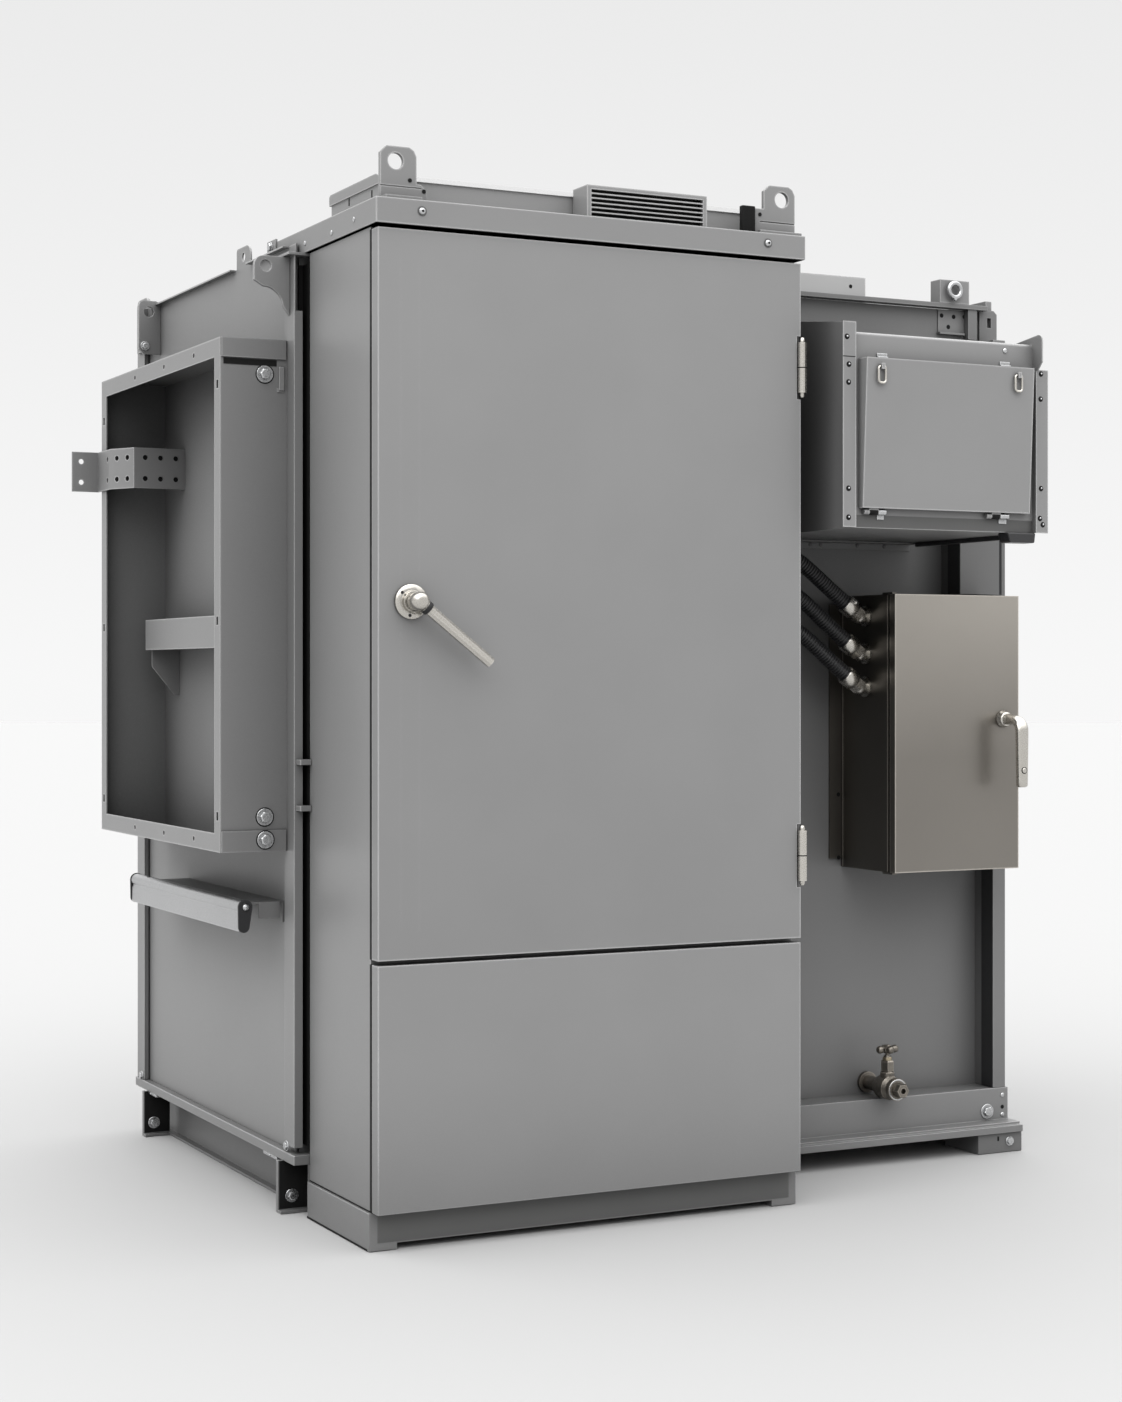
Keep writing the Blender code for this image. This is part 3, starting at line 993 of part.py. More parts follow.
# cabinet shell with a framed mouth for the door and one for the lower panel
W, D = CABINET_WIDTH, CABINET_DEPTH
shell = slab((0, W), (0, D), (PLINTH_TOP + FIT, SHELL_TOP))
cut(shell, slab((SHEET, W - SHEET), (SHEET, D - SHEET), (PLINTH_TOP + FIT + SHEET, SHELL_TOP - SHEET)),
    slab((FRAME_LIP, W - FRAME_LIP), (-0.02, 0.02), (OPEN_LOW, OPEN_TOP)),
    slab((FRAME_LIP, W - FRAME_LIP), (-0.02, 0.02), (PANEL_LOW + FRAME_LIP, PANEL_TOP - FRAME_LIP)))
for number in range(3):
    level = conduit_zs[number] + CONDUIT_LIFTS[number]
    cut(shell, bar((W - 0.02, CONDUIT_Y, level), (W + 0.02, CONDUIT_Y, level), CONDUIT_BORE, 12))
node("cabinet_shell", shell, "paint")

# plinth ring on two side runners
outer_x, outer_y = (-PLINTH_PROUD, W + PLINTH_PROUD), (-PLINTH_PROUD, D)
plinth = slab(outer_x, outer_y, (FOOT_PLATE, PLINTH_TOP))
cut(plinth, slab((outer_x[0] + PLATE, outer_x[1] - PLATE), (outer_y[0] + PLATE, outer_y[1] - PLATE),
                 (FOOT_PLATE - 0.02, PLINTH_TOP - PLATE)),
    slab((0.060, W - 0.060), (0.060, D - 0.060), (0, PLINTH_TOP + 0.02)))
for x in ((outer_x[0], outer_x[0] + 0.062), (outer_x[1] - 0.062, outer_x[1])):
    join(plinth, slab(x, outer_y, (0, FOOT_PLATE + 0.003)))
node("plinth", plinth, "paint")


def pan(x, y, z, lip):
    # a folded pan, open to the back, its edges turned in and a seal strip on the turned edge
    body = slab(x, y, z)
    cut(body, slab((x[0] + SHEET, x[1] - SHEET), (y[0] + SHEET, y[1] - SHEET), (z[0] + SHEET, z[1] - SHEET)),
        slab((x[0] + lip, x[1] - lip), (y[1] - 0.02, y[1] + 0.02), (z[0] + lip, z[1] - lip)))
    inset = SEAL_INSET
    seal = slab((x[0] + inset, x[1] - inset), (y[1] - 0.001, -FIT), (z[0] + inset, z[1] - inset))
    inset = lip - 0.002
    cut(seal, slab((x[0] + inset, x[1] - inset), (y[1] - 0.02, 0.02), (z[0] + inset, z[1] - inset)))
    return join(body, seal)


face = -DOOR_DEPTH
node("lower_panel", pan((0, W - 0.003), (face, -DOOR_GAP), (PANEL_LOW, PANEL_TOP), 0.026), "paint")

# cabinet door: a pan with a stiffener that carries the rod guides
hub = (LEVER_X, LEVER_Z)
door_at = (AXIS_X, HINGE_Y, (DOOR_LOW + DOOR_TOP) / 2)
door = pan((0, W - 0.003), (face, -DOOR_GAP), (DOOR_LOW, DOOR_TOP), 0.026)
stiff_x = (LEVER_X - 0.022, LEVER_X + 0.022)
stiff_z = (OPEN_LOW + 0.030, OPEN_TOP - 0.030)
join(door, slab((stiff_x[0], stiff_x[0] + SHEET), (face + SHEET - 0.001, 0.0055), stiff_z),
     slab((stiff_x[1] - SHEET, stiff_x[1]), (face + SHEET - 0.001, 0.0055), stiff_z),
     slab(stiff_x, (0.003, 0.006), stiff_z))
for z in (LEVER_Z - 0.50, LEVER_Z - 0.16, LEVER_Z + 0.16, LEVER_Z + 0.50):
    guide = slab((LEVER_X - 0.0165, LEVER_X + 0.0165), (0.004, ROD_BACK + ROD_THICK + 0.006), (z - 0.010, z + 0.010))
    cut(guide, slab((LEVER_X - ROD_WIDTH / 2 - ROD_PLAY, LEVER_X + ROD_WIDTH / 2 + ROD_PLAY),
                    (ROD_BACK - ROD_PLAY, ROD_BACK + ROD_THICK + ROD_PLAY), (z - 0.02, z + 0.02)))
    join(door, guide)
cut(door, bar((LEVER_X, face - 0.02, LEVER_Z), (LEVER_X, 0.05, LEVER_Z), SPINDLE_RADIUS + 0.0008, 16))
hinge_zs = (DOOR_LOW + HINGE_UPPER, DOOR_LOW + HINGE_LOWER)
for z in hinge_zs:
    half = HINGE_LENGTH / 2 + 0.014
    cut(door, bar((AXIS_X, HINGE_Y, z - half), (AXIS_X, HINGE_Y, z + half), HINGE_RADIUS + 0.0012, 20))
node("cabinet_door", door, "paint", door_at)
door = bpy.data.objects["cabinet_door"]

# lift off hinges: the lower half carries the pin, the upper half turns with the door
for name, z in zip(("upper", "lower"), hinge_zs):
    half = HINGE_LENGTH / 2
    fixed = turned((AXIS_X, HINGE_Y, z - half - 0.010), (AXIS_X, HINGE_Y, z), (
        (0, 0.004), (0.004, 0.006), (0.010, 0.006), (0.010, HINGE_RADIUS), (half + 0.0095, HINGE_RADIUS),
        (half + 0.0095, HINGE_PIN), (2 * half + 0.006, HINGE_PIN)), 16)
    join(fixed, slab((W + FIT, W + FIT + SHEET), (HINGE_Y, 0.050), (z - half, z - 0.002)))
    node("hinge_pin_" + name, fixed, "nickel")
    moving = turned((AXIS_X, HINGE_Y, z + 0.0005), (AXIS_X, HINGE_Y, z + 1), (
        (0, HINGE_RADIUS), (half - 0.0005, HINGE_RADIUS), (half, 0.006), (half + 0.006, 0.006), (half + 0.010, 0.004)), 16)
    join(moving, slab((W - 0.003 + FIT, W - FIT), (HINGE_Y + 0.002, -DOOR_GAP - 0.001), (z + 0.002, z + half)))
    cut(moving, bar((AXIS_X, HINGE_Y, z - 0.02), (AXIS_X, HINGE_Y, z + half - 0.0025), HINGE_PIN + 0.0005, 16))
    node("hinge_knuckle_" + name, moving, "nickel", door_at, door, door_at)

# rose, lever with its spindle, cam and the two latch rods
rose = turned((LEVER_X, face - FIT, LEVER_Z), (LEVER_X, face - 1, LEVER_Z), (
    (0, ROSE_RADIUS), (0.007, ROSE_RADIUS), (0.010, ROSE_RADIUS - 0.004), (0.010, 0.023), (0.019, 0.021)), 28)
cut(rose, bar((LEVER_X, face - 0.05, LEVER_Z), (LEVER_X, face + 0.02, LEVER_Z), SPINDLE_RADIUS + 0.0008, 16))
node("handle_rose", rose, "nickel", door_at, door, door_at)

lever_at = (LEVER_X, face, LEVER_Z)
stand = face - LEVER_STAND
lever = turned((LEVER_X, 0.0265, LEVER_Z), (LEVER_X, face - 1, LEVER_Z), (
    (0, SPINDLE_RADIUS), (0.0265 + DOOR_DEPTH + 0.0200, SPINDLE_RADIUS), (0.0265 + DOOR_DEPTH + 0.0200, 0.0165),
    (0.0265 + DOOR_DEPTH + 0.030, HUB_RADIUS), (0.0265 + DOOR_DEPTH + 0.056, HUB_RADIUS),
    (0.0265 + DOOR_DEPTH + 0.062, 0.0150), (0.0265 + DOOR_DEPTH + 0.065, 0.008)), 20)
droop = math.radians(LEVER_DROOP)
way = Vector((math.cos(droop), 0, -math.sin(droop)))
centre = Vector((LEVER_X, stand, LEVER_Z))
across = LEVER_ACROSS / 2 / math.cos(math.pi / 8)
join(lever, bar(centre + way * 0.004, centre + way * LEVER_LENGTH, across, 8, math.pi / 8),
     turned(centre + way * 0.016, centre + way, ((0, 0.0135), (0.008, 0.0135), (0.010, 0.012)), 16))
node("door_handle", lever, "nickel", lever_at, door, door_at)
lever = bpy.data.objects["door_handle"]

cam_y = ROD_BACK + ROD_THICK + 0.002
cam = prism(1, (cam_y, cam_y + 0.006), [(LEVER_X + x, LEVER_Z + z) for x, z in (
    arc((0.030, 0), 0.012, -70, 70, 6) + arc((-0.030, 0), 0.012, 110, 250, 6))])
cut(cam, bar((LEVER_X, cam_y - 0.02, LEVER_Z), (LEVER_X, cam_y + 0.02, LEVER_Z), SPINDLE_RADIUS + FIT, 16))
node("latch_cam", cam, "zinc", lever_at, lever, lever_at)

rod_y = (ROD_BACK, ROD_BACK + ROD_THICK)
rod_x = (LEVER_X - ROD_WIDTH / 2, LEVER_X + ROD_WIDTH / 2)
rod = slab(rod_x, rod_y, (LEVER_Z + 0.030, OPEN_TOP - ROD_CLEAR))
node("latch_rod_upper", rod, "zinc", (LEVER_X, ROD_BACK, LEVER_Z), door, door_at)
rod = slab(rod_x, rod_y, (OPEN_LOW + ROD_CLEAR, LEVER_Z - 0.030))
node("latch_rod_lower", rod, "zinc", (LEVER_X, ROD_BACK, LEVER_Z), door, door_at)

# hood: a skirted cap that reaches back over the housing, on an inner frame
hood_x = (-HOOD_PROUD, W + HOOD_PROUD - 0.002)
hood_y = (-DOOR_DEPTH - HOOD_PROUD, HOOD_REACH)
hood = slab(hood_x, hood_y, (HOOD_LOW, HOOD_TOP))
cut(hood, slab((hood_x[0] + SHEET, hood_x[1] - SHEET), (hood_y[0] + SHEET, hood_y[1] + 0.02),
               (HOOD_LOW - 0.02, HOOD_TOP - SHEET)))
frame = slab((0.030, W - 0.030), (0.030, D - 0.030), (SHELL_TOP + FIT, HOOD_TOP - 0.001))
cut(frame, slab((0.034, W - 0.034), (0.034, D - 0.034), (SHELL_TOP - 0.02, HOOD_TOP - SHEET)))
join(hood, frame)
node("hood", hood, "paint")

# raised roof on the hood, with a lid that overhangs a little
roof_x = (HOOD_ROOF_INSET, W - HOOD_ROOF_INSET + 0.010)
roof_y = (HOOD_ROOF_FRONT, HOOD_ROOF_FRONT + HOOD_ROOF_DEPTH)
base_z = HOOD_TOP + FIT
top = base_z + HOOD_ROOF_HEIGHT
lid_low = top - LID_HEIGHT
roof = slab(roof_x, roof_y, (base_z, lid_low + 0.001))
lid = prism(0, (roof_x[0] - 0.004, roof_x[1] + 0.004), (
    (roof_y[0] - 0.004, lid_low), (roof_y[1] + 0.004, lid_low), (roof_y[1] + 0.004, top - 0.004),
    (roof_y[1] - 0.004, top), (roof_y[0] + LID_SLOPE, top), (roof_y[0] - 0.004, lid_low + 0.002)))
join(roof, lid)
cut(roof, slab((roof_x[0] + SHEET, roof_x[1] - SHEET), (roof_y[0] + SHEET, roof_y[1] - SHEET),
               (base_z - 0.02, lid_low - 0.001)))
node("hood_roof", roof, "paint")

# louvred vent in front of the raised roof
vent_x = (W - VENT_INSET - VENT_WIDTH, W - VENT_INSET)
vent_y = (VENT_FRONT, roof_y[0] - 0.004 - FIT)
vent = slab(vent_x, vent_y, (base_z, base_z + VENT_HEIGHT))
cut(vent, slab((vent_x[0] + SHEET, vent_x[1] - SHEET), (vent_y[0] + 0.012, vent_y[1] + 0.02),
               (base_z + SHEET, base_z + VENT_HEIGHT - SHEET)))
pitch = (VENT_HEIGHT - 0.012) / VENT_SLOTS
for i in range(VENT_SLOTS):
    z = base_z + 0.008 + i * pitch
    cut(vent, prism(0, (vent_x[0] + 0.010, vent_x[1] - 0.010), (
        (vent_y[0] - 0.01, z - 0.003), (vent_y[0] + 0.03, z + 0.001), (vent_y[0] + 0.03, z + 0.0065),
        (vent_y[0] - 0.01, z + 0.0045))))
node("vent_grille", vent, "paint")


def cabinet_lug(x, lean):
    # an upright eye plate on a flat foot, with a scored line and a lower ear on its inner side
    low, high = base_z, HOOD_TOP + CAB_LUG_HEIGHT
    x0, x1 = x, x + CAB_LUG_WIDTH
    half = CAB_LUG_THICK / 2
    plate = prism(1, (-half, half), (
        (x0, low + 0.001), (x1, low + 0.001), (x1, high - 0.018), (x1 - 0.006, high - 0.006), (x1 - 0.016, high),
        (x0 + 0.014, high), (x0, high - 0.013)))
    join(plate, slab((x0, x1), (-0.034, 0.034), (low, low + 0.008)))
    if lean > 0:
        join(plate, slab((x0 - 0.026, x0 + 0.002), (-0.034, 0.034), (low, low + 0.008)),
             slab((x0 - 0.026, x0 + 0.002), (-half, half - 0.004), (low, low + 0.060)))
    else:
        join(plate, prism(1, (-half, half - 0.004), (
            (x1 - 0.002, low), (x1 + 0.023, low), (x1 + 0.023, low + 0.026), (x1 + 0.010, low + 0.039),
            (x1 - 0.002, low + 0.039))))
    score = low + 0.0305
    cut(plate, slab((x0 - 0.01, x1 + 0.01), (-half - 0.01, 0.002 - half), (score, score + 0.002)))
    eye = ((x0 + x1) / 2 + lean, high - CAB_LUG_DROP)
    return cut(plate, bar((eye[0], -0.05, eye[1]), (eye[0], 0.05, eye[1]), CAB_LUG_EYE / 2, 20))


node("cabinet_lug_left", cabinet_lug(CAB_LUG_INSET, -CAB_LUG_LEAN), "paint")
right_lug = W - CAB_LUG_WIDTH + 0.004
node("cabinet_lug_right", cabinet_lug(right_lug, CAB_LUG_LEAN), "paint")
buffer_x = right_lug - 0.026 - FIT
buffer = slab((buffer_x - BUFFER_WIDTH, buffer_x), (-BUFFER_DEPTH, 0), (base_z, base_z + 0.062))
node("buffer_block", buffer, "rubber")

# switchgear inside the cabinet
plate_back = D - SHEET - FIT
plate = slab((0.090, W - 0.060), (plate_back - 0.030, plate_back - 0.027), (OPEN_LOW + 0.030, OPEN_TOP - 0.030))
for x in (0.130, W - 0.100):
    for z in (OPEN_LOW + 0.080, OPEN_TOP - 0.080):
        join(plate, bar((x, plate_back - 0.028, z), (x, plate_back, z), 0.010, 10))
node("mounting_plate", plate, "zinc")
gear_y = plate_back - 0.030 - FIT
gear = slab((0.25 * W, 0.75 * W), (gear_y - 0.110, gear_y), (LEVER_Z + 0.060, LEVER_Z + 0.460))
join(gear, slab((0.30 * W, 0.70 * W), (gear_y - 0.085, gear_y), (LEVER_Z - 0.180, LEVER_Z + 0.070)),
     slab((0.46 * W, 0.54 * W), (gear_y - 0.135, gear_y - 0.100), (LEVER_Z + 0.200, LEVER_Z + 0.320)))
for share in (0.33, 0.47, 0.61):
    join(gear, slab((share * W, share * W + 0.060), (gear_y - 0.095, gear_y - 0.010), (LEVER_Z + 0.450, LEVER_Z + 0.540)))
node("main_switch", gear, "plastic")

# cell stacks standing on the base tray inside the closed housing
bank_x = (HOUSING_LEFT + 0.150, HOUSING_RIGHT - 0.140)
bank = slab(bank_x, (WALL_FRONT + 0.060, back - 0.090), (TRAY_TOP + FIT, TRAY_TOP + 0.040))
pitch = (bank_x[1] - bank_x[0] - 0.030) / 4
for i in range(4):
    x = bank_x[0] + 0.030 + i * pitch
    join(bank, slab((x, x + pitch - 0.045), (WALL_FRONT + 0.090, back - 0.120), (TRAY_TOP + 0.030, ROOF_LEVEL - 0.200)))
node("battery_bank", bank, "plastic")

assembly.location = -ORIGIN
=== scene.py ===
import json
import math

import bmesh
import bpy
from mathutils import Matrix, Vector


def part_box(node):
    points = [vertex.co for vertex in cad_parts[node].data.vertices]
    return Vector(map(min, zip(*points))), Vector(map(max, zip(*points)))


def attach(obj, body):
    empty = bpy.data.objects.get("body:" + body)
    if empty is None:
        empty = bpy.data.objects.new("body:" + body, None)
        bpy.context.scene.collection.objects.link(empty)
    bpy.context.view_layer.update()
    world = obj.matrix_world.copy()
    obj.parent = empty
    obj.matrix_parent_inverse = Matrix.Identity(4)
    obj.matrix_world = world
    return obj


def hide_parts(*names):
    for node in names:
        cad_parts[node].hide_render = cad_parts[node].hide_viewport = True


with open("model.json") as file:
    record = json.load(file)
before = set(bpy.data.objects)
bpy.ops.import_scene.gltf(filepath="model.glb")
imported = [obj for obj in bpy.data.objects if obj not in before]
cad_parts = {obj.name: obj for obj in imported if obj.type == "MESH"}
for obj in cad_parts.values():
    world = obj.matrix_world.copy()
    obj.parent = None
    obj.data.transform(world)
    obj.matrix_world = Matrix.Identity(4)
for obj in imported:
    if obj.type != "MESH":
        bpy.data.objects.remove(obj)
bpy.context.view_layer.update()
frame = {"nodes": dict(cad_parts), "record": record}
nodes = frame["nodes"]
scene = bpy.context.scene

# lengths in metres; places are counted from the cabinet's front left corner on the floor
cornerLow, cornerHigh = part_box("cabinet_shell")
cabinetWidth = cornerHigh.x - cornerLow.x


def spot(x, y, z):
    return Vector((cornerLow.x + x, cornerLow.y + y, z))


# camera at the photograph's place
cameraLook = {
    "place": (-1.8626, -4.579, 1.165),
    "yaw": 26.6,           # degrees to the right of the cabinet's depth
    "lens": 62.63,
    "shiftDown": 0.01855,  # keeps the uprights upright
    "farthest": 60,
}
cameraData = bpy.data.cameras.new("photoCamera")
cameraData.lens = cameraLook["lens"]
cameraData.shift_y = -cameraLook["shiftDown"]
cameraData.clip_end = cameraLook["farthest"]
camera = bpy.data.objects.new("photoCamera", cameraData)
camera.location = spot(*cameraLook["place"])
camera.rotation_euler = (math.radians(90), 0, math.radians(-cameraLook["yaw"]))
scene.collection.objects.link(camera)
scene.camera = camera
print("camera placed")


# finishes
def newFinish(name, colour, rough, metal=0.0):
    finish = bpy.data.materials.new(name)
    finish.use_nodes = True
    shader = finish.node_tree.nodes["Principled BSDF"]
    shader.inputs["Base Color"].default_value = (*colour, 1)
    shader.inputs["Roughness"].default_value = rough
    shader.inputs["Metallic"].default_value = metal
    return finish, shader


def addNode(finish, kind, **sockets):
    made = finish.node_tree.nodes.new(kind)
    for name, value in sockets.items():
        made.inputs[name].default_value = value
    return made


def link(finish, start, end):
    finish.node_tree.links.new(start, end)


def grainOf(finish, scale, detail, stretch=(1, 1, 1)):
    # noise in metres, stretched where a finish has a direction
    where = addNode(finish, "ShaderNodeTexCoord")
    sized = addNode(finish, "ShaderNodeMapping", Scale=stretch)
    noise = addNode(finish, "ShaderNodeTexNoise", Scale=scale, Detail=detail)
    link(finish, where.outputs["Object"], sized.inputs["Vector"])
    link(finish, sized.outputs["Vector"], noise.inputs["Vector"])
    return noise.outputs["Fac"]


rampSockets = ("From Min", "From Max", "To Min", "To Max")


def ramp(finish, source, low, high, start=0.35, end=0.65):
    made = addNode(finish, "ShaderNodeMapRange")
    for socket, value in zip(rampSockets, (start, end, low, high)):
        made.inputs[socket].default_value = value
    link(finish, source, made.inputs["Value"])
    return made.outputs["Result"]


def tint(finish, source, dark, light, start=0.3, end=0.7):
    made = addNode(finish, "ShaderNodeValToRGB")
    for element, place, colour in zip(made.color_ramp.elements, (start, end), (dark, light)):
        element.position = place
        element.color = (*colour, 1)
    link(finish, source, made.inputs["Fac"])
    return made.outputs["Color"]


def bumpFrom(finish, shader, source, strength, distance):
    bump = addNode(finish, "ShaderNodeBump", Strength=strength, Distance=distance)
    link(finish, source, bump.inputs["Height"])
    link(finish, bump.outputs["Normal"], shader.inputs["Normal"])


def blend(finish, kind, first, second, share=None):
    made = addNode(finish, "ShaderNodeMix")
    made.data_type = "RGBA"
    made.blend_type = kind
    made.inputs["Factor"].default_value = 1.0
    if share:
        link(finish, share, made.inputs["Factor"])
    link(finish, first, made.inputs[6])
    if isinstance(second, tuple):
        made.inputs[7].default_value = (*second, 1)
    else:
        link(finish, second, made.inputs[7])
    return made.outputs[2]


shadeAndSheenLook = {
    "edge": 0.0050,             # reach of a pale edge, partly wear and partly a painted highlight
    "edgeSamples": 4,
    "edgeBend": (0.92, 0.995),  # cosine of the turn where the pale edge is full and where it ends
    "edgeOpen": (0.55, 0.80),   # how open a place is where the pale edge starts and where it is full
    "shadeOpen": (0.0, 0.95),  # the same for the painted shade of a corner
    "shadeSamples": 8,
}


def paintedShadeAndEdgeSheen(finish, colour, base, shadeReach, shade, edgeWearSheen):
    # painted shade: darker in corners and recesses, where less light reaches; and paler along outer edges,
    # partly wear and partly a painted highlight
    corner = addNode(finish, "ShaderNodeAmbientOcclusion", Distance=shadeReach)
    corner.samples = shadeAndSheenLook["shadeSamples"]
    rounded = addNode(finish, "ShaderNodeBevel", Radius=shadeAndSheenLook["edge"])
    rounded.samples = shadeAndSheenLook["edgeSamples"]
    face = addNode(finish, "ShaderNodeNewGeometry")
    bend = addNode(finish, "ShaderNodeVectorMath")
    bend.operation = "DOT_PRODUCT"
    link(finish, rounded.outputs["Normal"], bend.inputs[0])
    link(finish, face.outputs["Normal"], bend.inputs[1])
    outer = addNode(finish, "ShaderNodeMath")
    outer.operation = "MULTIPLY"
    link(finish, ramp(finish, bend.outputs["Value"], 1.0, 0.0, *shadeAndSheenLook["edgeBend"]), outer.inputs[0])
    link(finish, ramp(finish, corner.outputs["AO"], 0.0, 1.0, *shadeAndSheenLook["edgeOpen"]), outer.inputs[1])
    pale = tuple(min(1, c * edgeWearSheen) for c in colour)
    sheenedEdges = blend(finish, "MIX", base, pale, outer.outputs["Value"])
    return blend(finish, "MULTIPLY", sheenedEdges,
                 ramp(finish, corner.outputs["AO"], shade, 1.0, *shadeAndSheenLook["shadeOpen"]))


def paintedLightByHeight(finish, base, lowest, highest, low, high):
    # painted light: darker towards the floor and paler towards the sky, as light from above falls
    where = addNode(finish, "ShaderNodeTexCoord")
    split = addNode(finish, "ShaderNodeSeparateXYZ")
    link(finish, where.outputs["Object"], split.inputs["Vector"])
    return blend(finish, "MULTIPLY", base, ramp(finish, split.outputs["Z"], low, high, lowest, highest))


grainLook = {"wideDetail": 4.0, "fineDetail": 3.0, "relief": 0.0004}


def surface(name, colour, spread, rough, roughSpread, metal, grain, bump, stretch=(1, 1, 1), blotch=4.0,
            shadeReach=0.05, shade=0.35, edgeWearSheen=1.3, shine=0.5, fade=None):
    # a finish whose colour drifts in wide blotches and whose gloss and relief follow a fine grain
    finish, shader = newFinish(name, colour, rough, metal)
    shader.inputs["Specular IOR Level"].default_value = shine
    wide = grainOf(finish, blotch, grainLook["wideDetail"])
    dark = [c * (1 - spread) for c in colour]
    light = [min(1, c * (1 + spread)) for c in colour]
    base = tint(finish, wide, dark, light)
    if fade:
        base = paintedLightByHeight(finish, base, *fade)
    link(finish, paintedShadeAndEdgeSheen(finish, colour, base, shadeReach, shade, edgeWearSheen), shader.inputs["Base Color"])
    fine = grainOf(finish, grain, grainLook["fineDetail"], stretch)
    gloss = ramp(finish, fine, rough - roughSpread, rough + roughSpread)
    link(finish, gloss, shader.inputs["Roughness"])
    bumpFrom(finish, shader, fine, bump, grainLook["relief"])
    return finish


# a fade is painted light, darker low and paler high: the heights where it starts and ends, and the brightness
# there
paintLook = {"spread": 0.025, "rough": 0.40, "roughSpread": 0.06, "metal": 0.0, "grain": 900, "bump": 0.10}
wallPaint = {**paintLook, "shadeReach": 0.40, "shade": 0.26, "edgeWearSheen": 2.1}
steelLook = {"spread": 0.05, "metal": 1.0, "grain": 1500, "bump": 0.05, "stretch": (1, 1, 0.02)}
brushedLook = {**steelLook, "rough": 0.33, "roughSpread": 0.05, "blotch": 2.2, "shadeReach": 0.03, "shade": 0.5,
               "edgeWearSheen": 2.2}
finishes = {
    "paint": surface("greyPaint", (0.194, 0.194, 0.194), **wallPaint),
    # the door's grey carries a painted light fade, paler high and darker low
    "doorPaintedLightPaint": surface("doorGreyPaintedLight", (0.194, 0.194, 0.194), **wallPaint, fade=(0.55, 1.95, 0.93, 1.06)),
    # the cable box's grey has deeper painted shade in its hollow
    "hollowShadePaint": surface("hollowPaintedShadeGrey", (0.192, 0.192, 0.192), **paintLook,
                           shadeReach=0.70, shade=0.04, edgeWearSheen=2.1),
    # a paler copy of the grey with little painted shade, standing in for better-lit faces
    "litCopyPaint": surface("litCopyGreyPaint", (0.205, 0.205, 0.205), **paintLook,
                         shadeReach=0.015, shade=0.50, edgeWearSheen=2.0),
    # a much paler copy of the grey: a painted highlight
    "highlightPaint": surface("paintedHighlightGrey", (0.34, 0.34, 0.34), **paintLook, shadeReach=0.03, shade=0.50),
    "shadePaint": surface("shadedGreyPaint", (0.145, 0.145, 0.145), **paintLook,
                          shadeReach=0.40, shade=0.30, edgeWearSheen=1.6),
    "baseGrey": surface("baseGreyPaint", (0.072, 0.072, 0.071), spread=0.05, rough=0.45, roughSpread=0.06,
                        metal=0.0, grain=900, bump=0.10),
    "black": surface("blackPaint", (0.009, 0.009, 0.009), spread=0.12, rough=0.50, roughSpread=0.06,
                     metal=0.0, grain=800, bump=0.10, shine=0.08),
    "stainless": surface("brushedStainless", (0.30, 0.281, 0.255), **brushedLook),
    # the control door's stainless carries a painted reflection, paler high and darker low
    "doorSheenSteel": surface("doorStainlessPaintedSheen", (0.30, 0.281, 0.255), **brushedLook, fade=(0.97, 1.34, 0.75, 1.28)),
    # a darker copy of the stainless: painted dark reflection on the control box
    "shadedBoxSteel": surface("paintedShadeStainless", (0.15, 0.141, 0.128), **steelLook, rough=0.36, roughSpread=0.06,
                        shadeReach=0.10, shade=0.35, edgeWearSheen=1.5),
    "nickel": surface("satinNickel", (0.52, 0.50, 0.462), spread=0.05, rough=0.25, roughSpread=0.06,
                      metal=1.0, grain=500, bump=0.06, shadeReach=0.02, shade=0.42),
    "aluminium": surface("drawnAluminium", (0.42, 0.423, 0.428), spread=0.04, rough=0.32, roughSpread=0.06,
                         metal=1.0, grain=120, bump=0.08, stretch=(14, 1, 14), shadeReach=0.03, shade=0.3),
    "bronze": surface("castBronze", (0.19, 0.174, 0.152), spread=0.18, rough=0.40, roughSpread=0.10,
                      metal=1.0, grain=420, bump=0.35, blotch=60.0, shadeReach=0.03, shade=0.25, edgeWearSheen=2.0),
    "brass": surface("dullBrass", (0.36, 0.31, 0.22), spread=0.10, rough=0.34, roughSpread=0.08,
                     metal=1.0, grain=420, bump=0.10, blotch=60.0, shadeReach=0.02),
    "rubber": surface("blackHose", (0.018, 0.018, 0.019), spread=0.15, rough=0.34, roughSpread=0.08,
                      metal=0.0, grain=700, bump=0.12, shadeReach=0.006, shade=0.1),
    "plastic": surface("darkMoulding", (0.022, 0.022, 0.023), spread=0.10, rough=0.42, roughSpread=0.06,
                       metal=0.0, grain=800, bump=0.10, shine=0.2),
    "zinc": surface("zincPlate", (0.48, 0.485, 0.49), spread=0.06, rough=0.30, roughSpread=0.08,
                    metal=1.0, grain=220, bump=0.08, shadeReach=0.012, shade=0.2),
}

# each CAD piece takes its slot's finish, unless shadeOf gives it another; most of these are darker or paler
# copies that paint shade or light on the piece
slotOf = {part["node"]: part["material_slot"] for part in frame["record"]["subparts"]}
shadeOf = {"control_box": "shadedBoxSteel", "control_door": "doorSheenSteel", "wall_front": "shadePaint",
           "post_front_right": "shadePaint", "skid_right": "shadePaint", "buffer_block": "black",
           "hood_roof": "litCopyPaint", "vent_grille": "litCopyPaint", "terminal_cover": "litCopyPaint",
           "cabinet_door": "doorPaintedLightPaint", "cable_box": "hollowShadePaint"}
edgeLook = {"sheet": 0.0012, "fine": 0.0006, "heavy": 0.0020, "weld": 0.00002, "flat": 0.5, "sharp": 40}
fineNodes = ("door_handle", "valve_body", "valve_handle", "gland_1", "gland_2", "gland_3", "gland_plate",
             "hinge_pin_upper", "hinge_pin_lower", "hinge_knuckle_upper", "hinge_knuckle_lower", "latch_left",
             "latch_right", "handle_rose", "cable_strap", "control_handle")
heavyNodes = ("cabinet_door", "lower_panel", "hood", "plinth", "base_tray", "eyebolt_block", "control_door",
              "buffer_block")
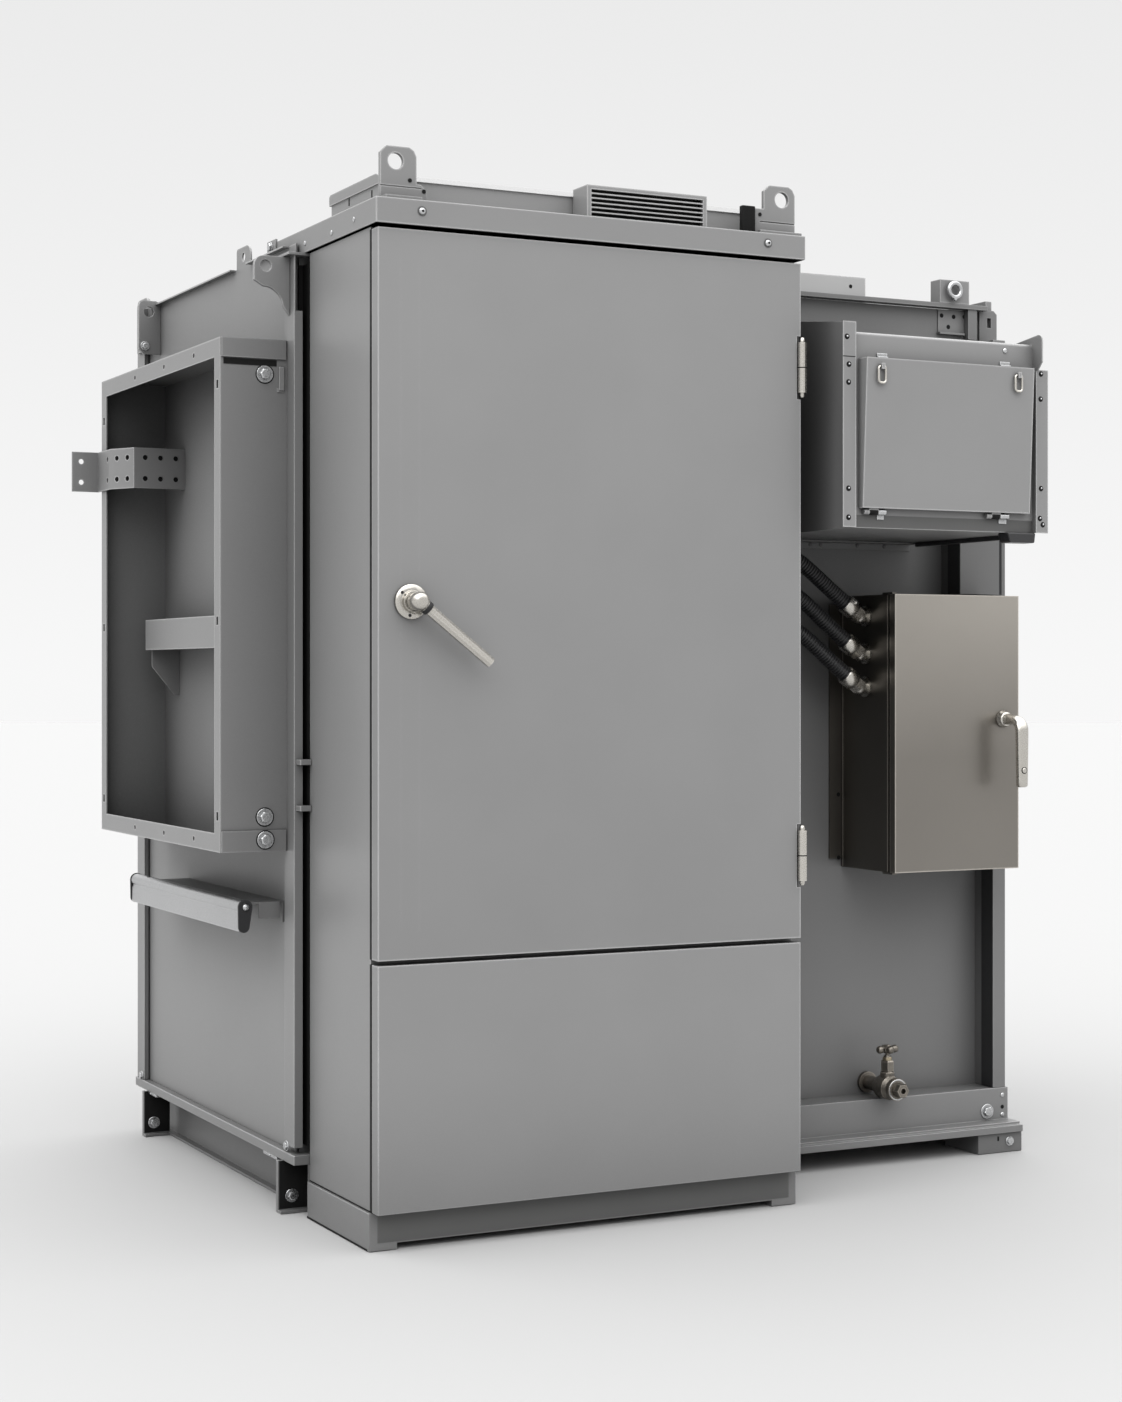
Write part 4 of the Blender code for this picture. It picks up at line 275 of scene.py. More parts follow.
for name, piece in nodes.items():
    width = edgeLook["sheet"]
    if name in fineNodes:
        width = edgeLook["fine"]
    if name in heavyNodes:
        width = edgeLook["heavy"]
    mesh = piece.data
    if "custom_normal" in mesh.attributes:
        mesh.attributes.remove(mesh.attributes["custom_normal"])
    for poly in mesh.polygons:
        poly.use_smooth = True
    mesh.materials.clear()
    mesh.materials.append(finishes[shadeOf.get(name, slotOf[name])])
    if name == "vent_grille":
        continue  # its blades are thinner than a rounded edge
    weld = piece.modifiers.new("weld", "WELD")
    weld.merge_threshold = edgeLook["weld"]
    flat = piece.modifiers.new("flat", "DECIMATE")
    flat.decimate_type = "DISSOLVE"
    flat.angle_limit = math.radians(edgeLook["flat"])
    bevel = piece.modifiers.new("edges", "BEVEL")
    bevel.width = width
    bevel.segments = 2
    bevel.limit_method = "ANGLE"
    bevel.angle_limit = math.radians(edgeLook["sharp"])
    bevel.harden_normals = True
print("finishes on the CAD pieces")

front = (0, -1, 0)
leftward = (-1, 0, 0)
rightward = (1, 0, 0)
upward = (0, 0, 1)
hair = 0.0002  # rounding of the thinnest trim, and its room or overlap at the face behind it


def addPiece(name, bm, finish, body="housing", smooth=False):
    bmesh.ops.recalc_face_normals(bm, faces=bm.faces)
    mesh = bpy.data.meshes.new(name)
    bm.to_mesh(mesh)
    bm.free()
    for poly in mesh.polygons:
        poly.use_smooth = smooth
    mesh.materials.append(finishes[finish])
    piece = bpy.data.objects.new(name, mesh)
    scene.collection.objects.link(piece)
    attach(piece, body)
    return piece


def aim(place, normal):
    turn = Vector(upward).rotation_difference(Vector(normal).normalized()).to_matrix().to_4x4()
    return Matrix.Translation(place) @ turn


def circle(radius, sides, phase=0.0):
    angles = [phase + 2 * math.pi * i / sides for i in range(sides)]
    return [(radius * math.cos(a), radius * math.sin(a)) for a in angles]


def skinInto(bm, rings):
    # joins each ring of points to the next
    for low, high in zip(rings, rings[1:]):
        for i in range(len(low)):
            j = (i + 1) % len(low)
            bm.faces.new((low[i], low[j], high[j], high[i]))


def turnedInto(bm, matrix, profile, sides, phase=0.0):
    # profile points are (radius, height); the ends are closed
    rings = []
    for radius, height in profile:
        rings.append([bm.verts.new(matrix @ Vector((x, y, height))) for x, y in circle(radius, sides, phase)])
    skinInto(bm, rings)
    bm.faces.new(list(reversed(rings[0])))
    bm.faces.new(rings[-1])


def ringInto(bm, matrix, profile, sides):
    # profile points are (radius, height) round a closed section
    rings = []
    for x, y in circle(1, sides):
        rings.append([bm.verts.new(matrix @ Vector((r * x, r * y, h))) for r, h in profile])
    for i in range(sides):
        for j in range(len(profile)):
            bm.faces.new((rings[i - 1][j - 1], rings[i - 1][j], rings[i][j], rings[i][j - 1]))


def flatRing(inner, outer, low, high):
    return [(inner, low), (outer, low), (outer, high), (inner, high)]


def sleeveInto(bm, matrix, radius, end, length, chamfer=0.001):
    # a short round bar with chamfered ends
    turnedInto(bm, matrix, ((end, 0), (radius, chamfer), (radius, length - chamfer), (end, length)), 24)


def around(middle, half):
    return middle - half, middle + half


def slab(x, y, z):
    # the two corners of a block, from its spans
    return spot(x[0], y[0], z[0]), spot(x[1], y[1], z[1])


def layer(look, face):
    # a thin plate on a face that looks to the front
    return slab(look["x"], (face - look["thick"], face - hair / 2), look["z"])


def boxInto(bm, low, high, rounding):
    made = bmesh.ops.create_cube(bm, size=1)["verts"]
    for v in made:
        v.co = Vector([low[i] if v.co[i] < 0 else high[i] for i in range(3)])
    edges = list(dict.fromkeys(e for v in made for e in v.link_edges))  # each edge once
    bmesh.ops.bevel(bm, geom=edges, offset=rounding, segments=2, affect="EDGES", profile=0.5)


def addBlocks(name, finish, blocks, rounding):
    bm = bmesh.new()
    for low, high in blocks:
        boxInto(bm, low, high, rounding)
    addPiece(name, bm, finish)


dotLook = {"proud": 0.0003, "top": 0.0005, "ease": 0.85, "sides": 18}


def dotsInto(bm, places, way, radius):
    # flat discs, such as the dark mouths of drilled holes
    proud = dotLook["proud"]
    profile = ((radius, -proud), (radius, proud), (radius * dotLook["ease"], dotLook["top"]))
    for place in places:
        turnedInto(bm, aim(place, way), profile, dotLook["sides"])


def addDots(name, finish, places, radius):
    bm = bmesh.new()
    dotsInto(bm, places, front, radius)
    addPiece(name, bm, finish)


def plateInto(bm, outline, y, hole, parts=8, rim=0.0006, flare=1.06):
    # an upright plate that faces front, with a round hole (x, z, radius) and a slight bevel to the hole's rim
    x, z, radius = hole
    dense = []
    for (ax, az), (bx, bz) in zip(outline, outline[1:] + outline[:1]):
        dense += [(ax + (bx - ax) * k / parts, az + (bz - az) * k / parts) for k in range(parts)]
    loops = []
    for depth, share in ((y[0], None), (y[0], flare), (y[0] + rim, 1.0), (y[1] - rim, 1.0), (y[1], flare),
                         (y[1], None)):
        loop = []
        for px, pz in dense:
            if share:
                a = math.atan2(pz - z, px - x)
                px, pz = x + radius * share * math.cos(a), z + radius * share * math.sin(a)
            loop.append(bm.verts.new(spot(px, depth, pz)))
        loops.append(loop)
    for low, high in zip(loops, loops[1:] + loops[:1]):
        for i in range(len(dense)):
            bm.faces.new((low[i - 1], low[i], high[i], high[i - 1]))


# ribbed conduits between the gland plate and the angled glands
conduitLook = {
    "radius": 0.0185,
    "groove": 0.0045,
    "pitch": 0.0072,
    "rings": 6,                  # rings of points to one rib
    "sides": 28,
    "crown": 0.6,                # below 1 the ribs are fuller than a plain wave
    "climb": 36.0,               # degrees from level at the angled gland
    "straight": (0.042, 0.046),  # held by the angled gland and by the gland plate
    "pull": 0.40,
    "steps": 80,
}


def conduitRoute(name, look):
    # the middle line runs from the angled gland to the gland plate, as the solid's does
    low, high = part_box(name)
    climb = math.radians(look["climb"])
    up = Vector((-math.cos(climb), 0, math.sin(climb)))
    middle = (low.y + high.y) / 2
    rim = look["radius"]
    start = Vector((high.x - rim * math.sin(climb), middle, low.z + rim * math.cos(climb)))
    end = Vector((low.x, middle, high.z - rim))
    first = start + up * look["straight"][0]
    last = end + Vector((look["straight"][1], 0, 0))
    reach = (first - last).length * look["pull"]
    hold = (first, first + up * reach, last + Vector((reach, 0, 0)), last)
    track = [start]
    for i in range(look["steps"] + 1):
        t = i / look["steps"]
        weights = ((1 - t) ** 3, 3 * t * (1 - t) ** 2, 3 * t * t * (1 - t), t ** 3)
        track.append(sum((w * p for w, p in zip(weights, hold)), Vector()))
    track.append(end)
    return track


def evenly(track, step):
    lengths = [0.0]
    for a, b in zip(track, track[1:]):
        lengths.append(lengths[-1] + (b - a).length)
    count = int(lengths[-1] / step)
    points = []
    j = 1
    for i in range(count + 1):
        want = lengths[-1] * i / count
        while lengths[j] < want and j < len(track) - 1:
            j += 1
        share = (want - lengths[j - 1]) / (lengths[j] - lengths[j - 1])
        points.append(track[j - 1].lerp(track[j], share))
    return points


for number in (1, 2, 3):
    look = conduitLook
    name = "conduit_%d" % number
    points = evenly(conduitRoute(name, look), look["pitch"] / look["rings"])
    bm = bmesh.new()
    side = Vector((0, 1, 0))
    rings = []
    for i, point in enumerate(points):
        way = (points[min(i + 1, len(points) - 1)] - points[max(i - 1, 0)]).normalized()
        out = side.cross(way).normalized()
        wave = abs(math.sin(math.pi * i / look["rings"]))
        radius = look["radius"] - look["groove"] * (1 - wave ** look["crown"])
        spokes = [side * c + out * s for c, s in circle(1, look["sides"])]
        rings.append([bm.verts.new(point + spoke * radius) for spoke in spokes])
    skinInto(bm, rings)
    bm.faces.new(rings[0])
    bm.faces.new(rings[-1])
    hose = addPiece("ribbedConduit%d" % number, bm, "rubber", smooth=True)
    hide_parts(name)
print("conduits routed")

# bolts, washers and rivets
boltLook = {
    "M8": {"head": 0.0075, "rise": 0.0055, "washer": 0.0115},
    "M10": {"head": 0.0092, "rise": 0.0068, "washer": 0.0150},
    "M12": {"head": 0.0105, "rise": 0.0080, "washer": 0.0185},
    "rivet": {"head": 0.0055, "rise": 0.0024},
    "screw": {"head": 0.0060, "rise": 0.0032},
    "stud": {"head": 0.0074, "rise": 0.0052},
    "pin": {"head": 0.0024, "rise": 0.0026},
}
boltTurn = {"start": 0.4, "perX": 1.7, "perZ": 2.3}


def boltInto(bm, place, normal, size, turn=0.0):
    # a hexagon head with a round top on a washer, or else a low round head
    look = boltLook[size]
    matrix = aim(place, normal)
    head, rise = look["head"], look["rise"]
    if "washer" in look:
        washer = look["washer"]
        disc = ((washer, -0.0004), (washer, 0.0016), (washer - 0.0006, 0.0022), (0.0045, 0.0022))
        turnedInto(bm, matrix, disc, 28)
        head = head * 2 / math.sqrt(3)
        turnedInto(bm, matrix, ((head, 0.0018), (head, rise), (head * 0.90, rise + 0.0012)), 6, turn)
        top = ((head * 0.86, rise), (head * 0.86, rise + 0.0014), (head * 0.70, rise + 0.0018))
        turnedInto(bm, matrix, top, 24)
    else:
        dome = ((head, -0.0004), (head * 0.97, rise * 0.4), (head * 0.75, rise * 0.8), (head * 0.3, rise))
        turnedInto(bm, matrix, dome, 18)


def boltSet(name, rows, finish="zinc"):
    # each row is a fastener's place, the way it faces and its size; its place also sets how it is turned
    bm = bmesh.new()
    for place, normal, size in rows:
        turn = boltTurn["start"] + boltTurn["perX"] * place.x + boltTurn["perZ"] * place.z
        boltInto(bm, place, normal, size, turn)
    addPiece(name, bm, finish)


# screws on the hood's front, with seats and sockets, and rivets on its left side
hoodScrews = {"front": (0.093, 0.909), "frontZ": 2.102, "seat": 0.0105, "headOut": 0.0004,
              "socket": 0.0027, "socketOut": 0.0055, "side": ((0.072, 2.097), (0.198, 2.090), (0.355, 2.093))}
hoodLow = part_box("hood")[0]
seats = [Vector((spot(x, 0, 0).x, hoodLow.y, hoodScrews["frontZ"])) for x in hoodScrews["front"]]
addDots("hoodScrewSeats", "baseGrey", seats, hoodScrews["seat"])
rows = [(place + Vector((0, -hoodScrews["headOut"], 0)), front, "stud") for place in seats]
rows += [(Vector((hoodLow.x, spot(0, y, 0).y, z)), leftward, "rivet") for y, z in hoodScrews["side"]]
boltSet("hoodScrews", rows)
sockets = [place + Vector((0, -hoodScrews["socketOut"], 0)) for place in seats]
addDots("hoodScrewSockets", "black", sockets, hoodScrews["socket"])

# dark back in the vent, behind its blades
ventLook = {"behind": 0.0126, "thick": 0.0012, "margin": 0.0045, "rounding": 0.0003}
ventLow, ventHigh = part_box("vent_grille")
margin = ventLook["margin"]
ventBack = ventLow.y + ventLook["behind"]
low = Vector((ventLow.x + margin, ventBack, ventLow.z + margin))
high = Vector((ventHigh.x - margin, ventBack + ventLook["thick"], ventHigh.z - margin))
addBlocks("ventBack", "black", [(low, high)], ventLook["rounding"])

# black seals round the door's and the lower panel's mouths, in the gap behind their turned edges, and a black
# strip on the shell's left side that paints the gap's shadow wider
sealLook = {"inset": 0.0012, "wide": 0.012, "gap": 0.0068, "rounding": 0.0010, "lap": 0.0004, "side": 0.0020,
            "turn": 0.0030}
inset, wide = sealLook["inset"], sealLook["wide"]
x0, x1 = cornerLow.x + inset, cornerLow.x + cabinetWidth - inset
near, far = cornerLow.y - sealLook["gap"], cornerLow.y - hair
bm = bmesh.new()
for name in ("cabinet_door", "lower_panel"):
    low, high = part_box(name)
    z0, z1 = low.z + inset, high.z - inset
    for xa, xb, za, zb in ((x0, x0 + wide, z0, z1), (x1 - wide, x1, z0, z1),
                           (x0 + wide, x1 - wide, z0, z0 + wide), (x0 + wide, x1 - wide, z1 - wide, z1)):
        boxInto(bm, Vector((xa, near, za)), Vector((xb, far, zb)), sealLook["rounding"])
    # painted shadow of the gap on the shell's left side
    boxInto(bm, Vector((cornerLow.x - sealLook["lap"], near, low.z)),
            Vector((cornerLow.x + sealLook["side"], cornerLow.y + sealLook["turn"], high.z)), hair)
addPiece("doorSealsAndGapShadow", bm, "black")

# black seam along the top of the plinth's left side; black strips beside the front left post, in its gap to
# the cabinet, and along the plinth's foot are painted shadow
seamLook = {
    "behindPost": ((-0.0102, -0.0002), (0.3838, 0.3846), (0.152, 2.050)),
    "besidePost": ((-0.0007, -0.0001), (0.3500, 0.3836), (0.152, 2.050)),
    "plinth": (0.004, 0.345),
    "proud": 0.0006,
    "topTall": 0.0032,
    "footShadowTall": 0.0042,
}
plinthLow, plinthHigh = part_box("plinth")
sole = plinthLow.x - cornerLow.x
addBlocks("cabinetSeamsAndShadows", "black", [
    slab(*seamLook["behindPost"]),
    slab(*seamLook["besidePost"]),
    slab((-seamLook["proud"], hair / 2), seamLook["plinth"],
         (plinthHigh.z + hair, plinthHigh.z + seamLook["topTall"])),
    slab((sole - seamLook["proud"], sole + hair), seamLook["plinth"], (hair, seamLook["footShadowTall"])),
], hair)

# dark joint between the halves of each hinge
grooveLook = {"pinFoot": 0.010, "half": 0.055, "fromRight": 0.001, "y": -0.043, "inner": 0.0075,
              "outer": 0.0108, "tall": 0.0012}
section = flatRing(grooveLook["inner"], grooveLook["outer"], -grooveLook["tall"], grooveLook["tall"])
bm = bmesh.new()
for name in ("hinge_pin_upper", "hinge_pin_lower"):
    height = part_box(name)[0].z + grooveLook["pinFoot"] + grooveLook["half"]
    middle = spot(cabinetWidth - grooveLook["fromRight"], grooveLook["y"], height)
    ringInto(bm, aim(middle, upward), section, 28)
addPiece("hingeJoints", bm, "black", smooth=True)

# tab on the hood's left side, slots in its raised roof and drilled holes in the cabinet's lugs
hoodTab = {"y": (0.532, 0.586), "z": (2.100, 2.131), "thick": 0.0035, "sunk": 0.002, "rounding": 0.001,
           "screw": (0.559, 2.116)}
sideX = hoodLow.x - cornerLow.x
tabX = sideX - hoodTab["thick"]
addBlocks("hoodTab", "paint",
          [slab((tabX, sideX + hoodTab["sunk"]), hoodTab["y"], hoodTab["z"])], hoodTab["rounding"])
boltSet("hoodTabScrew", [(spot(tabX, *hoodTab["screw"]), leftward, "M8")])
hoodSlots = {"x": 0.060, "rows": ((0.268, 2.172), (0.140, 2.167)), "wide": 0.006, "tall": 0.016,
             "proud": 0.0005}
lugHoles = {"left": ((0.084, 2.171), (0.115, 2.151)), "right": ((0.914, 2.172),)}
lugLook = {"half": 0.006, "hole": 0.0042}
bm = bmesh.new()
for y, z in hoodSlots["rows"]:
    block = slab(around(hoodSlots["x"], hoodSlots["proud"]), around(y, hoodSlots["wide"] / 2),
                 around(z, hoodSlots["tall"] / 2))
    boxInto(bm, *block, hair)
for side, holes in lugHoles.items():
    low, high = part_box("cabinet_lug_" + side)
    lugFront = (low.y + high.y) / 2 - lugLook["half"]
    dotsInto(bm, [Vector((spot(x, 0, 0).x, lugFront, z)) for x, z in holes], front, lugLook["hole"])
addPiece("hoodHoles", bm, "black")

# bolts on the cable box's front and on its lower band, on black discs that paint a shadow ring round each
# washer
cableScrews = {"x": -0.081, "band": 0.004, "onFace": (1.813, 0.859), "onBand": (0.810,), "seat": 0.0212}
cableLow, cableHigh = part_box("cable_box")
cableX = spot(cableScrews["x"], 0, 0).x
cableFront = cableLow.y + cableScrews["band"]
places = [Vector((cableX, cableFront, z)) for z in cableScrews["onFace"]]
places += [Vector((cableX, cableLow.y, z)) for z in cableScrews["onBand"]]
boltSet("cableBoxBolts", [(place, front, "M12") for place in places])
addDots("cableBoltShadowRings", "black", places, cableScrews["seat"])

# black line under the cable box's upper band, a painted shadow, and the strip below it
bandShadowLook = {"x": (-0.174, -0.054), "z": (1.8310, 1.8440), "proud": 0.0010}
stripLook = {"x": (-0.0495, -0.0375), "z": (1.779, 1.8305), "proud": 0.0040, "rounding": 0.0012}
stripFoot = {"x": (-0.0535, -0.0375), "z": (1.775, 1.785), "proud": 0.0015, "rounding": 0.0006}
cableFace = cableLow.y - cornerLow.y + cableScrews["band"]
bandShadowY = (cableFace - bandShadowLook["proud"], cableFace + hair)
addBlocks("cableBandShadow", "black", [slab(bandShadowLook["x"], bandShadowY, bandShadowLook["z"])], hair)
bm = bmesh.new()
for look in (stripLook, stripFoot):
    boxInto(bm, *slab(look["x"], (cableFace - look["proud"], cableFace + hair), look["z"]), look["rounding"])
addPiece("cableStrip", bm, "paint")

# black discs behind the holes in the cable box's flange and in the strap, painted shade seen through the
# holes
holeShadowBacks = {"behind": 0.0033, "flange": 0.020, "along": (0.31, 0.56, 0.80), "down": (0.09, 0.55, 0.93),
             "round": 0.0085, "slot": 0.0125}
strapLook = {"path": ((-0.1853, 1.330), (-0.1853, 1.222), (-0.147, 1.150), (-0.0191, 1.150)),
             "shares": ((0.78,), (0.28, 0.72), (0.22, 0.52, 0.82)), "heights": (1.6405, 1.6915),
             "behind": 0.0043}
inner = cableLow.x + holeShadowBacks["behind"]
flange = holeShadowBacks["flange"]
deep, tall = cableHigh.y - cableFront, cableHigh.z - cableLow.z
bm = bmesh.new()
rims = (cableHigh.z - flange, cableLow.z + flange)
places = [Vector((inner, cableHigh.y - share * deep, z)) for share in holeShadowBacks["along"] for z in rims]
dotsInto(bm, places, rightward, holeShadowBacks["round"])
rims = (cableFront + flange, cableHigh.y - flange)
places = [Vector((inner, y, cableHigh.z - share * tall)) for share in holeShadowBacks["down"] for y in rims]
dotsInto(bm, places, rightward, holeShadowBacks["slot"])
for start, end, shares in zip(strapLook["path"], strapLook["path"][1:], strapLook["shares"]):
    way = (Vector(end) - Vector(start)).normalized()
    back = Vector((-way.y, way.x, 0))
    for share in shares:
        place = Vector(start).lerp(Vector(end), share)
        places = [spot(place.x, place.y, z) + back * strapLook["behind"] for z in strapLook["heights"]]
        dotsInto(bm, places, back, holeShadowBacks["round"])
addPiece("cableHoleShadowBacks", bm, "black")

# bolt, rivets and holes at the front rail's right end, and the slot in the foot block
railScrews = {"M12": ((1.756, 0.093),), "rivet": ((1.802, 0.130), (1.802, 0.082))}
railLook = {"face": 0.310, "holes": ((1.802, 0.101), (1.802, 0.062)), "hole": 0.0050}
footSlot = {"x": (1.7515, 1.7565), "y": (0.2615, 0.2623), "z": (0.0285, 0.0395)}
boltSet("railBolts", [(spot(x, railLook["face"], z), front, size)
                      for size, screws in railScrews.items() for x, z in screws])
bm = bmesh.new()
dotsInto(bm, [spot(x, railLook["face"], z) for x, z in railLook["holes"]], front, railLook["hole"])
boxInto(bm, *slab(**footSlot), hair)
addPiece("railHoles", bm, "black")

# clips under the tray's left edge and the bolts at the posts' feet
trayClips = {"x": (-0.033, -0.018), "rows": ((0.462, 0.549), (1.342, 1.422)), "tall": 0.0075,
             "rounding": 0.0015, "bolts": (0.505, 1.382)}
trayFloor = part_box("base_tray")[0].z
clipZ = (trayFloor - trayClips["tall"], trayFloor - hair)
bm = bmesh.new()
for span in trayClips["rows"]:
    boxInto(bm, *slab(trayClips["x"], span, clipZ), trayClips["rounding"])
for y in trayClips["bolts"]:
    boltInto(bm, spot(trayClips["x"][0], y, trayFloor - trayClips["tall"] / 2), leftward, "pin")
addPiece("trayClips", bm, "zinc")
postBolts = {"x": -0.030, "rows": ((0.403, 0.147), (1.468, 0.143))}
boltSet("postBolts", [(spot(postBolts["x"], y, z), leftward, "M8") for y, z in postBolts["rows"]])

# front leg of the rear left lug, with its round eye, and the strip that joins it to the wall's plate
rearLug = {"x": (-0.0725, -0.0165), "y": (1.356, 1.364), "z": (1.970, 2.104), "corner": 0.012, "ease": 0.3,
           "eye": (-0.0466, 2.076, 0.0128), "bolt": (-0.057, 1.990)}
rearStrip = {"x": (-0.0385, -0.0305), "y": (1.363, 1.394), "z": (1.986, 2.100)}
stripRound = 0.0008
x0, x1 = rearLug["x"]
z0, z1 = rearLug["z"]
cut = rearLug["corner"]
ease = cut * rearLug["ease"]
outline = [(x0, z0 + cut), (x0 + cut, z0), (x1, z0), (x1, z1 - cut), (x1 - ease, z1 - ease), (x1 - cut, z1),
           (x0 + cut, z1), (x0 + ease, z1 - ease), (x0, z1 - cut)]
bm = bmesh.new()
plateInto(bm, outline, rearLug["y"], rearLug["eye"])
boxInto(bm, *slab(**rearStrip), stripRound)
addPiece("rearLugLeg", bm, "paint")
boltSet("rearLugBolt", [(spot(rearLug["bolt"][0], rearLug["y"][0], rearLug["bolt"][1]), front, "M8")])

# bolts in the feet
footScrews = {"M10": ((-0.013, 0.420, 0.035), (-0.018, 1.407, 0.032)), "M8": ((1.788, 0.262, 0.026),)}
boltSet("footBolts", [(spot(*place), front, size) for size, screws in footScrews.items() for place in screws])

# rivets on the terminal box's flanges, each on a dark seat, and a screw on its frame
terminalRivets = {
    "left": ((1.067, 1.901), (1.072, 1.841), (1.071, 1.802), (1.071, 1.571), (1.071, 1.508)),
    "right": ((1.590, 1.848), (1.589, 1.791), (1.590, 1.588), (1.587, 1.520), (1.595, 1.506)),
    "frame": ((1.500, 1.897),),
    "seat": 0.0062,
    "offSeat": (0.0008, 0, 0.0008),
}
flangeY, frameY = -0.117, -0.103
places = [spot(x, flangeY, z) for x, z in terminalRivets["left"] + terminalRivets["right"]]
addDots("terminalRivetSeats", "black", places, terminalRivets["seat"])
rows = [(place + Vector(terminalRivets["offSeat"]), front, "pin") for place in places]
rows += [(spot(x, frameY, z), front, "screw") for x, z in terminalRivets["frame"]]
boltSet("terminalRivets", rows)

# dark seam on the left flange, sleeves and leaves at the cover's hinge, and keepers above its loops
earSeam = {"x": (1.0570, 1.0885), "y": (-0.1175, -0.1167), "z": (1.8575, 1.8591)}
knuckleLook = {"y": -0.111, "z": 1.522, "radius": 0.0066, "end": 0.0055,
               "dark": ((1.1265, 1.1495), (1.4545, 1.4775)), "bright": ((1.1503, 1.1705), (1.4783, 1.5020))}
leafLook = {"inset": 0.002, "proud": 0.0030, "z": (1.506, 1.519), "rounding": 0.0008}
keeperLook = {"x": ((1.1530, 1.1800), (1.4840, 1.5120)), "sunk": 0.0005}
keeperParts = ({"z": (1.8605, 1.8640), "proud": 0.0070, "rounding": 0.0012},
               {"z": (1.8605, 1.8715), "proud": 0.0025, "rounding": 0.0008})
addBlocks("terminalSeams", "black", [slab(**earSeam)], hair)


def knuckleInto(bm, x0, x1):
    look = knuckleLook
    sleeveInto(bm, aim(spot(x0, look["y"], look["z"]), rightward), look["radius"], look["end"], x1 - x0)


bm = bmesh.new()
for x0, x1 in knuckleLook["dark"]:
    knuckleInto(bm, x0, x1)
addPiece("coverKnuckleSleeves", bm, "black", "terminal_cover", smooth=True)
frameBack = frameY + keeperLook["sunk"]
bm = bmesh.new()
for x0, x1 in knuckleLook["bright"]:
    knuckleInto(bm, x0, x1)
    block = slab((x0 + leafLook["inset"], x1), (frameY - leafLook["proud"], frameBack), leafLook["z"])
    boxInto(bm, *block, leafLook["rounding"])
for span in keeperLook["x"]:
    for look in keeperParts:
        boxInto(bm, *slab(span, (frameY - look["proud"], frameBack), look["z"]), look["rounding"])
addPiece("terminalKeepers", bm, "zinc")

# darker plate on the terminal box's sill under its cover, a painted shadow of the cover
sillShadowLook = {"x": (1.0895, 1.5775), "z": (1.4885, 1.5148), "thick": 0.0006}
addBlocks("terminalSillShadow", "baseGrey", [layer(sillShadowLook, frameY)], hair)

# plate on the front of the raised roof, with a drilled hole; its pale paint is a painted highlight
roofPlate = {"x": (1.0365, 1.4685), "z": (2.0515, 2.1335), "face": 0.415, "thick": 0.0012, "rounding": 0.0004,
             "holeX": 1.426, "holeZ": 2.111, "hole": 0.0048}
addBlocks("roofPlate", "highlightPaint", [layer(roofPlate, roofPlate["face"])], roofPlate["rounding"])
place = spot(roofPlate["holeX"], roofPlate["face"] - roofPlate["thick"], roofPlate["holeZ"])
addDots("roofPlateHole", "black", [place], roofPlate["hole"])

# drilled plate at the beam's right end
beamPlate = {"x": (1.662, 1.746), "y": (0.382, 0.386), "z": (2.007, 2.066)}
beamHoles = {"rows": ((1.708, 2.051), (1.672, 2.052), (1.740, 2.053), (1.692, 2.025)), "radius": 0.0055}
beamRound = 0.0006
addBlocks("beamPlate", "paint", [slab(**beamPlate)], beamRound)
places = [spot(x, beamPlate["y"][0], z) for x, z in beamHoles["rows"]]
addDots("beamHoles", "black", places, beamHoles["radius"])

# bright eye with its drop on the block above the beam
eyeLook = {"fromLeft": 0.036, "fromTop": 0.026, "fromFront": 0.0042, "radius": 0.0172,
           "wire": (0.0056, 0.0052),
           "drop": ((0.0040, -0.002), (0.0050, 0.001), (0.0050, 0.006), (0.0032, 0.0095))}
eyeLow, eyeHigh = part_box("eyebolt_block")
eyeAt = Vector((eyeLow.x + eyeLook["fromLeft"], eyeLow.y + eyeLook["fromFront"],
                eyeHigh.z - eyeLook["fromTop"]))
wide, deep = eyeLook["wire"]
section = [(eyeLook["radius"] + wide * c, deep * s) for c, s in circle(1, 14)]
bm = bmesh.new()
ringInto(bm, aim(eyeAt, front), section, 40)
turnedInto(bm, aim(eyeAt - Vector((0, 0, eyeLook["radius"])), (0, 0, -1)), eyeLook["drop"], 18)
addPiece("brightEye", bm, "zinc", smooth=True)

# angle that carries the terminal box, and under its right side the stop and a black strip, painted shade
# standing in for the inner face of the box's side lip
angleLook = {"x": (1.100, 1.577), "drop": 0.019, "reach": 0.045, "thick": 0.004, "rounding": 0.0008,
             "webTop": 0.0005, "shelfTop": 0.0004, "holes": (1.290, 1.319, 1.424, 1.502), "holeDrop": 0.009}
wallFront = 0.385
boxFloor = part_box("terminal_box")[0].z
clear = 0.0003  # room between these pieces and the box or the wall
webY = wallFront - angleLook["thick"]
addBlocks("terminalAngle", "paint", [
    slab(angleLook["x"], (webY, wallFront - clear),
         (boxFloor - angleLook["drop"], boxFloor - angleLook["webTop"])),
    slab(angleLook["x"], (wallFront - angleLook["reach"], wallFront - clear),
         (boxFloor - angleLook["thick"], boxFloor - angleLook["shelfTop"])),
], angleLook["rounding"])
boltSet("terminalAngleBolts", [(spot(x, webY, boxFloor - angleLook["holeDrop"]), front, "rivet")
                               for x in angleLook["holes"]], "baseGrey")

